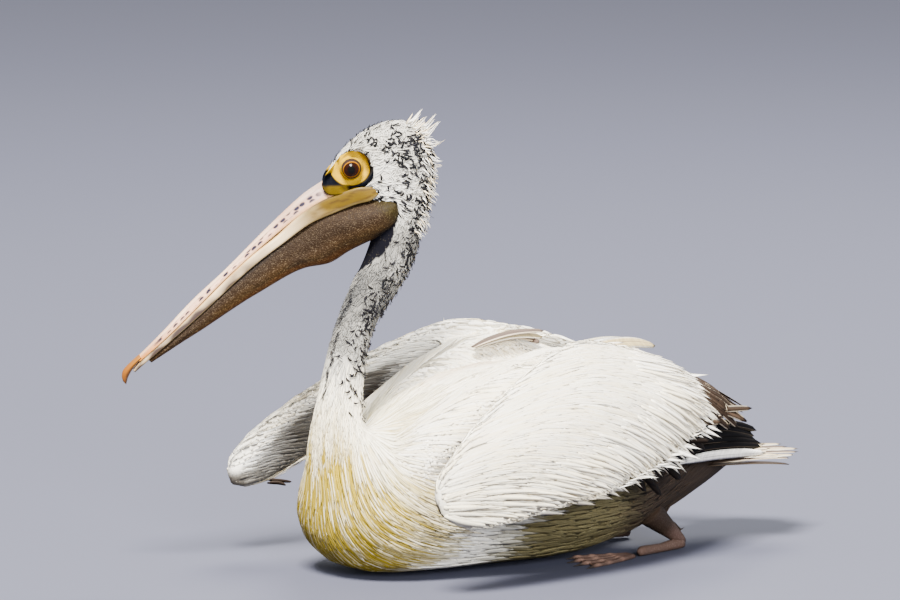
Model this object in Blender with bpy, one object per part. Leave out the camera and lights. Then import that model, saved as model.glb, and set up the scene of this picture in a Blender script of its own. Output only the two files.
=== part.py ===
"""Life-size spot-billed pelican afloat: it sits on its belly, bill lowered, head turned, wings half lifted.

Units are metres, +Z is up. The bird's breast faces -Y and its left side is +X. Every outline is worked out
in the bird's own profile plane, as (forward, up), and the neck then turns the head to the bird's right.
"""

import math

import bpy
import numpy as np

# Driving dimensions
HEAD_TURN = 35.0  # degrees that the head is turned to the bird's right
NECK_AXIS = 0.140  # forward distance of the upright line that the head turns about
BILL_ROOT = (0.2368, 0.4451)  # forward and up: where the ridge of the bill leaves the feathers
BILL_DROOP = 44.0  # degrees that the bill points down
GAP = 0.0004  # clearance between neighbouring pieces
CUT = 0.006  # share of a station's spacing left open where the body is parted
ROUNDNESS = 0.92  # power that makes body sections a little fuller than ellipses
BODY_RING = 16  # points round the trunk, neck and head
BILL_RING = 10  # points round the bill's pieces

# The body's stations: dorsal point (forward, up), ventral point (forward, up), half width,
# height of the widest point as a share of the section, and the turn of the neck in degrees.
BODY = {
    "tail_root": (-0.276, 0.124, -0.290, 0.076, 0.032, 0.50, 0),
    "vent": (-0.208, 0.160, -0.222, 0.046, 0.064, 0.48, 0),
    "loin": (-0.118, 0.203, -0.125, 0.011, 0.104, 0.47, 0),
    "waist": (-0.020, 0.229, -0.030, -0.004, 0.125, 0.44, 0),
    "shoulder": (0.070, 0.224, 0.080, -0.004, 0.128, 0.42, 0),
    "fore_breast": (0.138, 0.197, 0.175, -0.003, 0.119, 0.42, 0),
    "low_breast": (0.172, 0.180, 0.236, 0.013, 0.099, 0.42, 0),
    "breast": (0.190, 0.172, 0.2645, 0.050, 0.078, 0.43, 0),
    "high_breast": (0.200, 0.170, 0.2665, 0.095, 0.058, 0.46, 0),
    "neck_root": (0.2055, 0.173, 0.2690, 0.132, 0.043, 0.50, 0),
    "neck_base": (0.2070, 0.181, 0.2670, 0.168, 0.0330, 0.50, 0),
    "neck_low": (0.2045, 0.1965, 0.2595, 0.207, 0.0265, 0.50, 0),
    "neck_middle": (0.1946, 0.236, 0.2394, 0.255, 0.0235, 0.50, 8),
    "neck_high": (0.1771, 0.2795, 0.2181, 0.3005, 0.0225, 0.50, 20),
    "neck_top": (0.1466, 0.321, 0.1948, 0.349, 0.0250, 0.50, 31),
    "throat": (0.1299, 0.3557, 0.1870, 0.368, 0.0275, 0.50, 35),
    "nape_low": (0.1244, 0.3818, 0.1815, 0.388, 0.0290, 0.52, 35),
    "nape": (0.1180, 0.4078, 0.1815, 0.405, 0.0315, 0.54, 35),
    "nape_high": (0.1119, 0.4384, 0.1860, 0.4225, 0.0345, 0.54, 35),
    "crown_back": (0.1120, 0.4740, 0.1940, 0.427, 0.0365, 0.52, 35),
    "crown_high": (0.1268, 0.5030, 0.2030, 0.428, 0.0370, 0.50, 35),
    "crown": (0.1525, 0.5112, 0.2110, 0.429, 0.0355, 0.50, 35),
    "brow": (0.1800, 0.5040, 0.2187, 0.4304, 0.0325, 0.50, 35),
    "forehead": (0.2020, 0.4893, 0.2255, 0.4293, 0.0285, 0.50, 35),
    "lore": (0.2205, 0.4690, 0.2311, 0.4259, 0.0240, 0.50, 35),
    "bill_root": (0.2335, 0.4490, 0.2367, 0.4225, 0.0190, 0.50, 35),
}
# The lengths that the body is parted into, as node: (first station, last station, rings a station)
BODY_LENGTHS = {
    "rump": ("tail_root", "loin", 2),
    "trunk": ("loin", "fore_breast", 2),
    "breast": ("fore_breast", "neck_root", 2),
    "neck_lower": ("neck_root", "neck_middle", 2),
    "neck_middle": ("neck_middle", "neck_top", 2),
    "neck_upper": ("neck_top", "nape", 2),
    "head": ("nape", "bill_root", 2),
}

# The bill's stations: distance along the bill, height of the top and of the bottom over the bill's axis, half width
UPPER_BILL = (
    (-0.010, -0.0020, -0.0290, 0.0200),
    (0.020, 0.0006, -0.0175, 0.0205),
    (0.050, 0.0020, -0.0122, 0.0185),
    (0.095, 0.0018, -0.0088, 0.0160),
    (0.150, 0.0004, -0.0066, 0.0148),
    (0.200, 0.0012, -0.0078, 0.0146),
    (0.250, -0.0012, -0.0085, 0.0150),
    (0.290, -0.0020, -0.0068, 0.0135),
)
NAIL = (
    (0.291, -0.0018, -0.0069, 0.0134),
    (0.302, -0.0012, -0.0082, 0.0105),
    (0.312, -0.0018, -0.0110, 0.0072),
    (0.318, -0.0060, -0.0142, 0.0042),
    (0.3205, -0.0105, -0.0158, 0.0018),
)
JAW = (
    (-0.036, -0.0450, -0.0560, 0.0270),
    (-0.024, -0.0345, -0.0550, 0.0285),
    (-0.008, -0.0268, -0.0465, 0.0262),
    (0.016, -0.0176, -0.0370, 0.0228),
    (0.045, -0.0122, -0.0270, 0.0202),
    (0.083, -0.0110, -0.0222, 0.0170),
    (0.115, -0.0080, -0.0186, 0.0160),
    (0.150, -0.0072, -0.0170, 0.0152),
    (0.200, -0.0084, -0.0165, 0.0148),
    (0.240, -0.0091, -0.0150, 0.0144),
    (0.285, -0.0074, -0.0128, 0.0118),
    (0.303, -0.0090, -0.0125, 0.0070),
)
JAW_WALL = 0.0045  # thickness of each side of the lower jaw
POUCH = (
    (-0.043, -0.0720, -0.0800, 0.0300),
    (-0.037, -0.0620, -0.0915, 0.0350),
    (-0.024, -0.0530, -0.0970, 0.0365),
    (-0.008, -0.0430, -0.0950, 0.0345),
    (0.014, -0.0320, -0.0870, 0.0300),
    (0.035, -0.0215, -0.0805, 0.0235),
    (0.060, -0.0150, -0.0750, 0.0180),
    (0.083, -0.0125, -0.0605, 0.0158),
    (0.104, -0.0100, -0.0528, 0.0150),
    (0.138, -0.0085, -0.0452, 0.0144),
    (0.163, -0.0085, -0.0398, 0.0138),
    (0.190, -0.0092, -0.0348, 0.0134),
    (0.218, -0.0100, -0.0300, 0.0130),
    (0.243, -0.0100, -0.0248, 0.0125),
    (0.282, -0.0092, -0.0178, 0.0098),
)

EYE = (0.2030, 0.4576, 0.0250)  # forward, up and out, of the eyeball's centre
EYE_RADIUS = 0.0105
ORBIT_LONG, ORBIT_SHORT, ORBIT_TILT = 0.0235, 0.0175, 35.0  # bare skin round the eye
ORBIT_DEPTH = 0.0140  # distance of its flat back from the head's middle

# The lifted wing's stations, for the left side: distance back, lower edge (out, up), upper edge (out, up),
# outward bulge and thickness
WING = (
    (-0.2425, 0.2060, 0.108, 0.2050, 0.126, 0.001, 0.012),
    (-0.2360, 0.2080, 0.092, 0.2010, 0.141, 0.005, 0.022),
    (-0.2150, 0.2100, 0.080, 0.1945, 0.160, 0.011, 0.027),
    (-0.1800, 0.2110, 0.078, 0.1810, 0.186, 0.017, 0.028),
    (-0.1300, 0.2100, 0.082, 0.1630, 0.214, 0.022, 0.028),
    (-0.0700, 0.2040, 0.091, 0.1430, 0.243, 0.026, 0.028),
    (0.0000, 0.1920, 0.098, 0.1200, 0.264, 0.028, 0.027),
    (0.0500, 0.1790, 0.111, 0.1040, 0.259, 0.028, 0.024),
    (0.1000, 0.1620, 0.123, 0.0900, 0.247, 0.026, 0.019),
    (0.1500, 0.1420, 0.141, 0.0760, 0.229, 0.023, 0.013),
    (0.1950, 0.1180, 0.150, 0.0660, 0.208, 0.019, 0.007),
    (0.2400, 0.0930, 0.155, 0.0620, 0.184, 0.011, 0.005),
)
WING_LENGTHS = {"hand": (0, 4, 1), "forearm": (4, 7, 2), "coverts": (7, 11, 1)}
WING_COLUMNS = 9
RIGHT_DROOP = 0.017  # how much lower the right wrist is carried than the left
RIGHT_REACH = 1.03  # how much further forward it is held
RIGHT_TUCK = ((-0.25, -0.13, 0.05), (0.0, 0.034, 0.0))  # distance back, how far its lower edge is drawn up

# The upper arm's stations, which the shoulder feathers cover: distance back, centre (out, up), radii (out, up)
UPPER_ARM = (
    (-0.218, 0.050, 0.118, 0.012, 0.014),
    (-0.178, 0.070, 0.142, 0.044, 0.040),
    (-0.110, 0.088, 0.182, 0.050, 0.044),
    (-0.040, 0.086, 0.212, 0.048, 0.038),
    (0.020, 0.078, 0.221, 0.044, 0.034),
    (0.080, 0.066, 0.211, 0.036, 0.030),
    (0.140, 0.054, 0.186, 0.026, 0.024),
    (0.185, 0.046, 0.164, 0.010, 0.010),
)
RIGHT_ARM_DROP = ((-0.218, -0.178, -0.11, -0.04, 0.02), (0.0, 0.022, 0.030, 0.012, 0.0))

# Feather fans, for the left side: root, bend and tip of the first and of the last feather, each (out, back, up),
# then the number of feathers, notch between their tips as a share of their length, thickness, crown of each vane
FANS = {
    "primaries": (
        ((0.112, 0.165, 0.120), (0.064, 0.228, 0.130), (0.022, 0.338, 0.104)),
        ((0.090, 0.176, 0.145), (0.062, 0.236, 0.150), (0.034, 0.326, 0.120)),
        5, 0.16, 0.0035, 0.0014,
    ),
    "secondaries": (
        ((0.092, 0.170, 0.160), (0.082, 0.240, 0.177), (0.046, 0.300, 0.142)),
        ((0.052, 0.165, 0.213), (0.052, 0.235, 0.203), (0.040, 0.288, 0.160)),
        6, 0.15, 0.0035, 0.0014,
    ),
    "tertials": (
        ((0.080, 0.040, 0.2420), (0.068, 0.112, 0.2560), (0.052, 0.1760, 0.2370)),
        ((0.050, 0.020, 0.2320), (0.046, 0.090, 0.2540), (0.036, 0.1620, 0.2390)),
        4, 0.20, 0.0035, 0.0014,
    ),
}
RIGHT_TERTIALS = (
    ((0.080, -0.010, 0.2220), (0.068, 0.075, 0.2490), (0.052, 0.0800, 0.2340)),
    ((0.040, -0.030, 0.2360), (0.036, 0.020, 0.2620), (0.030, 0.0700, 0.2520)),
    4, 0.20, 0.0035, 0.0014,
)
TAIL = (
    ((0.044, 0.235, 0.096), (0.070, 0.310, 0.099), (0.078, 0.372, 0.086)),
    ((-0.044, 0.235, 0.096), (-0.070, 0.310, 0.099), (-0.078, 0.372, 0.086)),
    10, 0.12, 0.0040, 0.0016,
)
TAIL_ARCH = 0.012  # how much higher the middle tail feathers lie
TAIL_ROUND = 0.024  # how much longer they are

# The feet, tucked under the belly, for the left side
TOE_FIRST = ((0.070, 0.122, 0.0), (0.050, 0.080, 0.0), (0.036, 0.046, 0.0))
TOE_LAST = ((0.078, 0.122, 0.0), (0.105, 0.070, 0.0), (0.118, 0.022, 0.0))
TOES, WEB_NOTCH, WEB, TOE_HEIGHT = 4, 0.20, 0.0022, 0.0052
HEEL, ANKLE, KNEE = (0.052, 0.208, 0.0085), (0.073, 0.128, 0.0078), (0.060, 0.140, 0.058)

# The crest's tufts: root and tip, each (forward, up), then how far the tip stands out to the side
CREST = (
    ((0.136, 0.500), (0.1225, 0.5250), 0.000),
    ((0.129, 0.495), (0.1160, 0.5170), 0.009),
    ((0.124, 0.492), (0.1070, 0.5180), -0.006),
    ((0.121, 0.486), (0.1020, 0.5080), 0.008),
    ((0.119, 0.476), (0.1005, 0.4900), -0.009),
    ((0.118, 0.464), (0.0990, 0.4630), 0.007),
    ((0.118, 0.450), (0.1020, 0.4420), -0.007),
)
CREST_ROOT, CREST_TIP = 0.0105, 0.0022  # radii of each tuft
SMALL_FEATHER = ((0.2040, -0.1950, 0.0815), (0.1840, -0.1620, 0.0760))  # thumb feather, root and tip

COLOURS = {
    "plumage": ((0.86, 0.85, 0.80), 0.75),
    "breast": ((0.80, 0.68, 0.34), 0.75),
    "neck": ((0.66, 0.66, 0.64), 0.80),
    "crest": ((0.80, 0.77, 0.70), 0.80),
    "upper_bill": ((0.83, 0.66, 0.53), 0.42),
    "nail": ((0.80, 0.45, 0.08), 0.38),
    "jaw": ((0.82, 0.74, 0.55), 0.42),
    "pouch": ((0.25, 0.19, 0.12), 0.55),
    "orbit": ((0.88, 0.60, 0.05), 0.50),
    "eye": ((0.06, 0.02, 0.015), 0.08),
    "flight": ((0.06, 0.05, 0.045), 0.60),
    "tail": ((0.60, 0.56, 0.50), 0.70),
    "foot": ((0.26, 0.20, 0.18), 0.60),
}


def material(name):
    """The named sub-part's material, made on first use."""
    found = bpy.data.materials.get(name)
    if found:
        return found
    colour, roughness = COLOURS[name]
    made = bpy.data.materials.new(name)
    made.use_nodes = True
    shader = made.node_tree.nodes["Principled BSDF"]
    shader.inputs["Base Color"].default_value = (*colour, 1.0)
    shader.inputs["Roughness"].default_value = roughness
    shader.inputs["Metallic"].default_value = 0.0
    return made


def new_object(name, points, faces, finish, collection):
    """A mesh object with smooth faces, in the named material."""
    mesh = bpy.data.meshes.new(name)
    mesh.from_pydata([tuple(map(float, p)) for p in points], [], faces)
    mesh.materials.append(material(finish))
    mesh.shade_smooth()
    mesh.set_sharp_from_angle(angle=math.radians(40))
    made = bpy.data.objects.new(name, mesh)
    made.modifiers.new("triangles", "TRIANGULATE")
    collection.objects.link(made)
    return made


def read_curve(table, places):
    """Rows read off a smooth curve through the table's rows, at the given row numbers, whole or not."""
    table = np.asarray(table, float)
    places = np.clip(np.asarray(places, float), 0, len(table) - 1)
    start = np.minimum(places.astype(int), len(table) - 2)
    t = (places - start)[:, None]
    before, after = np.maximum(start - 1, 0), np.minimum(start + 2, len(table) - 1)
    p0, p1, p2, p3 = table[before], table[start], table[start + 1], table[after]
    bend = 2 * p0 - 5 * p1 + 4 * p2 - p3
    twist = 3 * p1 - p0 - 3 * p2 + p3
    return 0.5 * (2 * p1 + (p2 - p0) * t + bend * t**2 + twist * t**3)


def places_between(first, last, steps):
    """Row numbers from first to last, with so many steps a row, drawn in a little at both ends."""
    return np.linspace(first + CUT, last - CUT, (last - first) * steps + 1)


def loft(name, rings, finish, collection):
    """A closed solid through rings of points, capped at both ends."""
    count, size = len(rings), len(rings[0])
    points = [p for ring in rings for p in ring]
    faces = [tuple(range(size)), tuple(reversed(range((count - 1) * size, count * size)))]
    for i in range(count - 1):
        for j in range(size):
            k = (j + 1) % size
            faces.append((i * size + k, i * size + j, (i + 1) * size + j, (i + 1) * size + k))
    made = new_object(name, points, faces, finish, collection)
    face_outwards(made.data)
    return made


def slab(name, outer, inner, finish, collection):
    """A closed solid between two grids of points of the same size."""
    rows, columns = outer.shape[:2]
    points = np.concatenate([outer.reshape(-1, 3), inner.reshape(-1, 3)])
    back = rows * columns

    def at(i, j):
        return i * columns + j

    faces = []
    for i in range(rows - 1):
        for j in range(columns - 1):
            a, b, c, d = at(i, j), at(i, j + 1), at(i + 1, j + 1), at(i + 1, j)
            faces += [(a, b, c, d), (back + d, back + c, back + b, back + a)]
    rim = [at(0, j) for j in range(columns)]
    rim += [at(i, columns - 1) for i in range(1, rows)]
    rim += [at(rows - 1, j) for j in reversed(range(columns - 1))]
    rim += [at(i, 0) for i in reversed(range(1, rows - 1))]
    for a, b in zip(rim, rim[1:] + rim[:1], strict=True):
        faces.append((b, a, back + a, back + b))
    made = new_object(name, points, faces, finish, collection)
    face_outwards(made.data)
    return made


def face_outwards(mesh):
    """Turns a closed mesh the right way out, if its volume comes out negative."""
    mesh.calc_loop_triangles()
    volume = 0.0
    for triangle in mesh.loop_triangles:
        a, b, c = (mesh.vertices[i].co for i in triangle.vertices)
        volume += a.dot(b.cross(c))
    if volume < 0:
        mesh.flip_normals()


def helper(obj, helpers, name):
    """A hidden copy of an object, with its modifiers, for use as a cutter."""
    made = obj.copy()
    made.data = obj.data.copy()
    made.name = name
    for collection in list(made.users_collection):
        collection.objects.unlink(made)
    helpers.objects.link(made)
    made.hide_render = True
    made.display_type = "WIRE"
    return made


def grown(obj, helpers, by=GAP):
    """A hidden copy of an object, swollen by the clearance."""
    made = helper(obj, helpers, f"clear_{obj.name}")
    swell = made.modifiers.new("swell", "DISPLACE")
    swell.strength = by
    swell.mid_level = 0.0
    return made


def combine(obj, other, operation):
    """Adds a Boolean with another object."""
    modifier = obj.modifiers.new(f"{operation.lower()}_{other.name}", "BOOLEAN")
    modifier.operation = operation
    modifier.object = other
    return obj


def turned(out, forward, up, degrees=HEAD_TURN):
    """A point of the profile plane, moved out to the bird's left, then turned about the neck's upright line."""
    a = math.radians(degrees)
    ahead = forward - NECK_AXIS
    x = -math.sin(a) * ahead + math.cos(a) * out
    y = -NECK_AXIS - math.cos(a) * ahead - math.sin(a) * out
    return (x, y, up)


def soft_power(value, power):
    """The value raised to a power, with its sign kept."""
    return math.copysign(abs(value) ** power, value)


def body_ring(row):
    """The ring of points of one body section. What would reach under the floor lies flat on it."""
    dorsal, ventral = np.array(row[0:2]), np.array(row[2:4])
    half_width, widest, turn = row[4:7]
    middle = ventral + widest * (dorsal - ventral)
    ring = []
    for k in range(BODY_RING):
        a = 2 * math.pi * (k + 0.5) / BODY_RING
        reach = dorsal - middle if math.sin(a) > 0 else middle - ventral
        forward, up = middle + reach * soft_power(math.sin(a), ROUNDNESS)
        out = half_width * soft_power(math.cos(a), ROUNDNESS)
        ring.append(turned(out, forward, max(up, 0.0), turn))
    return ring


def build_body(parts):
    """The rump, trunk, breast, neck and head, one body parted by thin cuts."""
    names, table = list(BODY), np.array(list(BODY.values()))
    finishes = {"breast": "breast", "neck_middle": "neck", "neck_upper": "neck"}
    made = {}
    for node, (first, last, steps) in BODY_LENGTHS.items():
        places = places_between(names.index(first), names.index(last), steps)
        rings = [body_ring(row) for row in read_curve(table, places)]
        made[node] = loft(node, rings, finishes.get(node, "plumage"), parts)
    return made


def bill_point(out, along, above):
    """A point of the bill, from its distance out, along the bill and above its axis."""
    a = math.radians(BILL_DROOP)
    forward = BILL_ROOT[0] + along * math.cos(a) + above * math.sin(a)
    up = BILL_ROOT[1] - along * math.sin(a) + above * math.cos(a)
    return turned(out, forward, up)


def bill_ring(row, belly=1.0, ridge=1.0):
    """A bill section: an oval between top and bottom, pinched towards its ridge and its belly."""
    along, top, bottom, half_width = row
    middle, reach = (top + bottom) / 2, (top - bottom) / 2
    ring = []
    for k in range(BILL_RING):
        a = 2 * math.pi * k / BILL_RING
        power = ridge if math.sin(a) > 0 else belly
        out = half_width * soft_power(math.cos(a), power)
        ring.append(bill_point(out, along, middle + reach * math.sin(a)))
    return ring


def jaw_ring(row, side):
    """A section of one side of the lower jaw: an upright bar with a rounded outer face."""
    along, top, bottom, half_width = row
    middle, reach = (top + bottom) / 2, (top - bottom) / 2
    inner = half_width - JAW_WALL
    ring = []
    for up, out in ((-1, 0.35), (-0.5, 0.9), (0.1, 1.0), (0.7, 0.9), (1, 0.45), (1, 0.0), (0, 0.0), (-1, 0.0)):
        ring.append(bill_point(side * (inner + out * JAW_WALL), along, middle + up * reach))
    return ring


def bill_loft(name, table, finish, parts, ring_of, steps=1):
    """One piece of the bill, through the sections that ring_of makes."""
    places = np.linspace(0, len(table) - 1, (len(table) - 1) * steps + 1)
    return loft(name, [ring_of(row) for row in read_curve(table, places)], finish, parts)


def build_bill(parts):
    """Upper bill with its nail, both sides of the lower jaw, and the pouch."""
    made = {
        "upper_bill": bill_loft("upper_bill", UPPER_BILL, "upper_bill", parts, lambda r: bill_ring(r, 0.6, 1.1), 2),
        "bill_nail": bill_loft("bill_nail", NAIL, "nail", parts, lambda r: bill_ring(r, 0.7, 0.9)),
        "pouch": bill_loft("pouch", POUCH, "pouch", parts, lambda r: bill_ring(r, 1.15, 0.55)),
    }
    for word, side in (("left", 1), ("right", -1)):
        name = f"jaw_{word}"
        made[name] = bill_loft(name, JAW, "jaw", parts, lambda r, side=side: jaw_ring(r, side))
    return made


def build_eye(side, word, parts, helpers, head):
    """One eyeball and the plate of bare skin round it, let into the head."""
    turn_about_up = -math.radians(HEAD_TURN)
    forward, up, out = EYE
    bpy.ops.mesh.primitive_uv_sphere_add(segments=12, ring_count=8, radius=EYE_RADIUS)
    eye = bpy.context.object
    eye.name = f"eye_{word}"
    eye.location = turned(side * out, forward, up)
    eye.rotation_euler = (0, math.pi / 2, turn_about_up)
    eye.data.materials.append(material("eye"))
    eye.data.shade_smooth()
    adopt(eye, parts)

    rings = []
    for reach in (ORBIT_DEPTH, 3 * ORBIT_DEPTH):
        ring = []
        for k in range(12):
            a = 2 * math.pi * k / 12
            tilt = math.radians(ORBIT_TILT)
            along, across = ORBIT_LONG * math.cos(a), ORBIT_SHORT * math.sin(a)
            f = forward + along * math.cos(tilt) + across * math.sin(tilt)
            z = up - along * math.sin(tilt) + across * math.cos(tilt)
            ring.append(turned(side * reach, f, z))
        rings.append(ring)
    orbit = loft(f"orbit_{word}", rings, "orbit", parts)
    combine(head, grown(orbit, helpers), "DIFFERENCE")
    return eye, orbit


def adopt(obj, collection):
    """Moves an object made by an operator into the part's collection."""
    for other in list(obj.users_collection):
        other.objects.unlink(obj)
    collection.objects.link(obj)


def build_crest(parts, helpers, head):
    """The shaggy nape crest: pointed tufts that stand out of a low cushion on the back of the head."""
    rows = ((0.126, 0.505, 0.010), (0.116, 0.492, 0.017), (0.110, 0.474, 0.019), (0.109, 0.455, 0.018),
            (0.112, 0.438, 0.012))
    rings = []
    for forward, up, half_width in rows:
        ring = []
        for k in range(10):
            a = 2 * math.pi * k / 10
            ring.append(turned(half_width * math.cos(a), forward - 0.006 * math.sin(a), up + 0.002 * math.sin(a)))
        rings.append(ring)
    crest = loft("crest", rings, "crest", parts)
    for number, (root, tip, out) in enumerate(CREST):
        tuft_rings = []
        for share in (0.0, 0.6, 1.0):
            radius = CREST_ROOT + (CREST_TIP - CREST_ROOT) * share**0.8
            centre = [a + (b - a) * share for a, b in zip(root, tip, strict=True)]
            length = math.dist(root, tip)
            across = ((tip[1] - root[1]) / length, -(tip[0] - root[0]) / length)
            ring = []
            for k in range(5):
                a = 2 * math.pi * k / 5
                f = centre[0] + radius * across[0] * math.sin(a)
                z = centre[1] + radius * across[1] * math.sin(a)
                ring.append(turned(out * share + radius * math.cos(a), f, z))
            tuft_rings.append(ring)
        tuft = loft(f"tuft_{number}", tuft_rings, "crest", helpers)
        hide(tuft)
        combine(crest, tuft, "UNION")
    return combine(crest, grown(head, helpers), "DIFFERENCE")


def hide(obj):
    """Keeps a helper out of the render."""
    obj.hide_render = True
    obj.display_type = "WIRE"


def wing_grids(rows, side):
    """Outer and inner points of the wing's shell, row by row from its lower to its upper edge."""
    outer, inner = [], []
    for back, low_out, low_up, high_out, high_up, bulge, thickness in rows:
        droop = tuck = 0.0
        if side < 0:
            droop = RIGHT_DROOP * min(max(back / WING[0][0], 0.0), 1.0)
            tuck = float(np.interp(back, *RIGHT_TUCK))
            back = back * RIGHT_REACH if back < 0 else back
        low, high = np.array([low_out, low_up - droop + tuck]), np.array([high_out, high_up - droop])
        rise = (high - low) / np.linalg.norm(high - low)
        outward = np.array([rise[1], -rise[0]])
        skin, lining = [], []
        for k in range(WING_COLUMNS):
            share = 0.5 - 0.5 * math.cos(math.pi * k / (WING_COLUMNS - 1))
            curve = math.sin(math.pi * share)
            depth = thickness * (0.12 + 0.88 * curve**0.5)
            p = low + share * (high - low) + outward * bulge * curve
            q = p - outward * depth
            skin.append((side * p[0], back, p[1]))
            lining.append((side * q[0], back, q[1]))
        outer.append(skin)
        inner.append(lining)
    return np.array(outer), np.array(inner)


def build_wing_shell(side, word, parts):
    """The covert-clad shell of one lifted wing, parted at the wrist and behind the elbow."""
    made = []
    for piece, (first, last, steps) in WING_LENGTHS.items():
        rows = read_curve(WING, places_between(first, last, steps))
        outer, inner = wing_grids(rows, side)
        made.append(slab(f"wing_{word}_{piece}", outer, inner, "plumage", parts))
    return made


def build_upper_arm(side, word, parts, helpers, neighbours):
    """The shoulder and upper arm, filling the space between the back and the lifted wing."""
    rings = []
    for back, out, up, radius_out, radius_up in read_curve(UPPER_ARM, np.linspace(0, 7, 9)):
        up = up - float(np.interp(back, *RIGHT_ARM_DROP)) if side < 0 else up
        ring = []
        for k in range(10):
            a = 2 * math.pi * k / 10
            ring.append((side * (out + radius_out * math.cos(a)), back, up + radius_up * math.sin(a)))
        rings.append(ring)
    arm = loft(f"wing_{word}_arm", rings, "plumage", parts)
    for other in neighbours:
        combine(arm, grown(other, helpers), "DIFFERENCE")
    return arm


def fan_grids(fan, side, rows=4, arch=0.0, longer=0.0, flat_base=False):
    """Upper and lower points of a fan of overlapping feathers, each with a crowned vane and a pointed end."""
    first, last, count, notch, thickness, crown = fan
    steps = 2
    columns = count * steps + 1
    sheet, crowns = np.zeros((rows, columns, 3)), np.zeros((rows, columns, 1))
    first, last = np.array(first), np.array(last)
    for j in range(columns):
        share = j / (columns - 1)
        root, bend, tip = first + share * (last - first)
        middle = math.sin(math.pi * share)
        bend = bend + np.array([0, 0, arch * middle])
        tip = tip + np.array([0, longer * middle, arch * middle])
        edge = abs(2 * ((j % steps) / steps) - 1)
        reach = 1 - notch * edge**1.5
        for i in range(rows):
            t = reach * i / (rows - 1)
            sheet[i, j] = (1 - t) ** 2 * root + 2 * t * (1 - t) * bend + t**2 * tip
            crowns[i, j] = crown * (1 - edge) * (1 - 0.5 * i / (rows - 1))
    if flat_base:
        upright = np.array([0.0, 0.0, 1.0])
        upper, lower = sheet + upright * (crowns + thickness / 2), sheet
    else:
        across, along = last.mean(axis=0) - first.mean(axis=0), np.gradient(sheet, axis=0)
        upright = np.cross(along, across)
        upright /= np.linalg.norm(upright, axis=2, keepdims=True)
        upper = sheet + upright * (crowns + thickness / 2)
        lower = sheet + upright * (0.6 * crowns - thickness / 2)
    mirror = np.array([side, 1.0, 1.0])
    return upper * mirror, lower * mirror


def build_fan(name, fan, side, finish, parts, **options):
    """One fan of feathers as a single corrugated plate."""
    upper, lower = fan_grids(fan, side, **options)
    return slab(name, upper, lower, finish, parts)


def tube(name, path, radii, finish, parts):
    """A tapered round limb along a path of points."""
    path = np.array(path, float)
    rings = []
    for i, (centre, radius) in enumerate(zip(path, radii, strict=True)):
        way = path[min(i + 1, len(path) - 1)] - path[max(i - 1, 0)]
        way /= np.linalg.norm(way)
        across = np.cross(way, (0, 0, 1))
        across /= np.linalg.norm(across)
        upright = np.cross(across, way)
        angles = [2 * math.pi * k / 7 for k in range(7)]
        rings.append([centre + radius * (math.cos(a) * across + math.sin(a) * upright) for a in angles])
    return loft(name, rings, finish, parts)


def build_leg(side, word, parts):
    """Webbed foot, shank and thigh end, folded under the belly."""
    foot_fan = (TOE_FIRST, TOE_LAST, TOES, WEB_NOTCH, 2 * WEB, TOE_HEIGHT)
    foot = build_fan(f"foot_{word}", foot_fan, side, "foot", parts, flat_base=True)
    heel, ankle, knee = (np.array((side * p[0], p[1], p[2])) for p in (HEEL, ANKLE, KNEE))
    shank_path = [heel + (ankle - heel) * share for share in (0.0, 0.12, 0.5, 0.9, 1.0)]
    shank = tube(f"shank_{word}", shank_path, (0.006, 0.0080, 0.0058, 0.0060, 0.004), "foot", parts)
    start = heel + np.array((0, -0.004, 0.0125))
    thigh_path = [start + (knee - start) * share for share in (0.0, 0.15, 0.6, 1.0)]
    thigh = tube(f"thigh_{word}", thigh_path, (0.003, 0.0060, 0.0090, 0.0120), "plumage", parts)
    return foot, shank, thigh


def build_small_feather(side, word, parts):
    """The thumb feather that sticks out under the wrist."""
    root, tip = (np.array((side * p[0], p[1], p[2])) for p in SMALL_FEATHER)
    path = [root + (tip - root) * share for share in (0.0, 0.3, 0.7, 1.0)]
    return tube(f"wing_{word}_thumb", path, (0.0030, 0.0036, 0.0028, 0.0008), "flight", parts)


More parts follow.
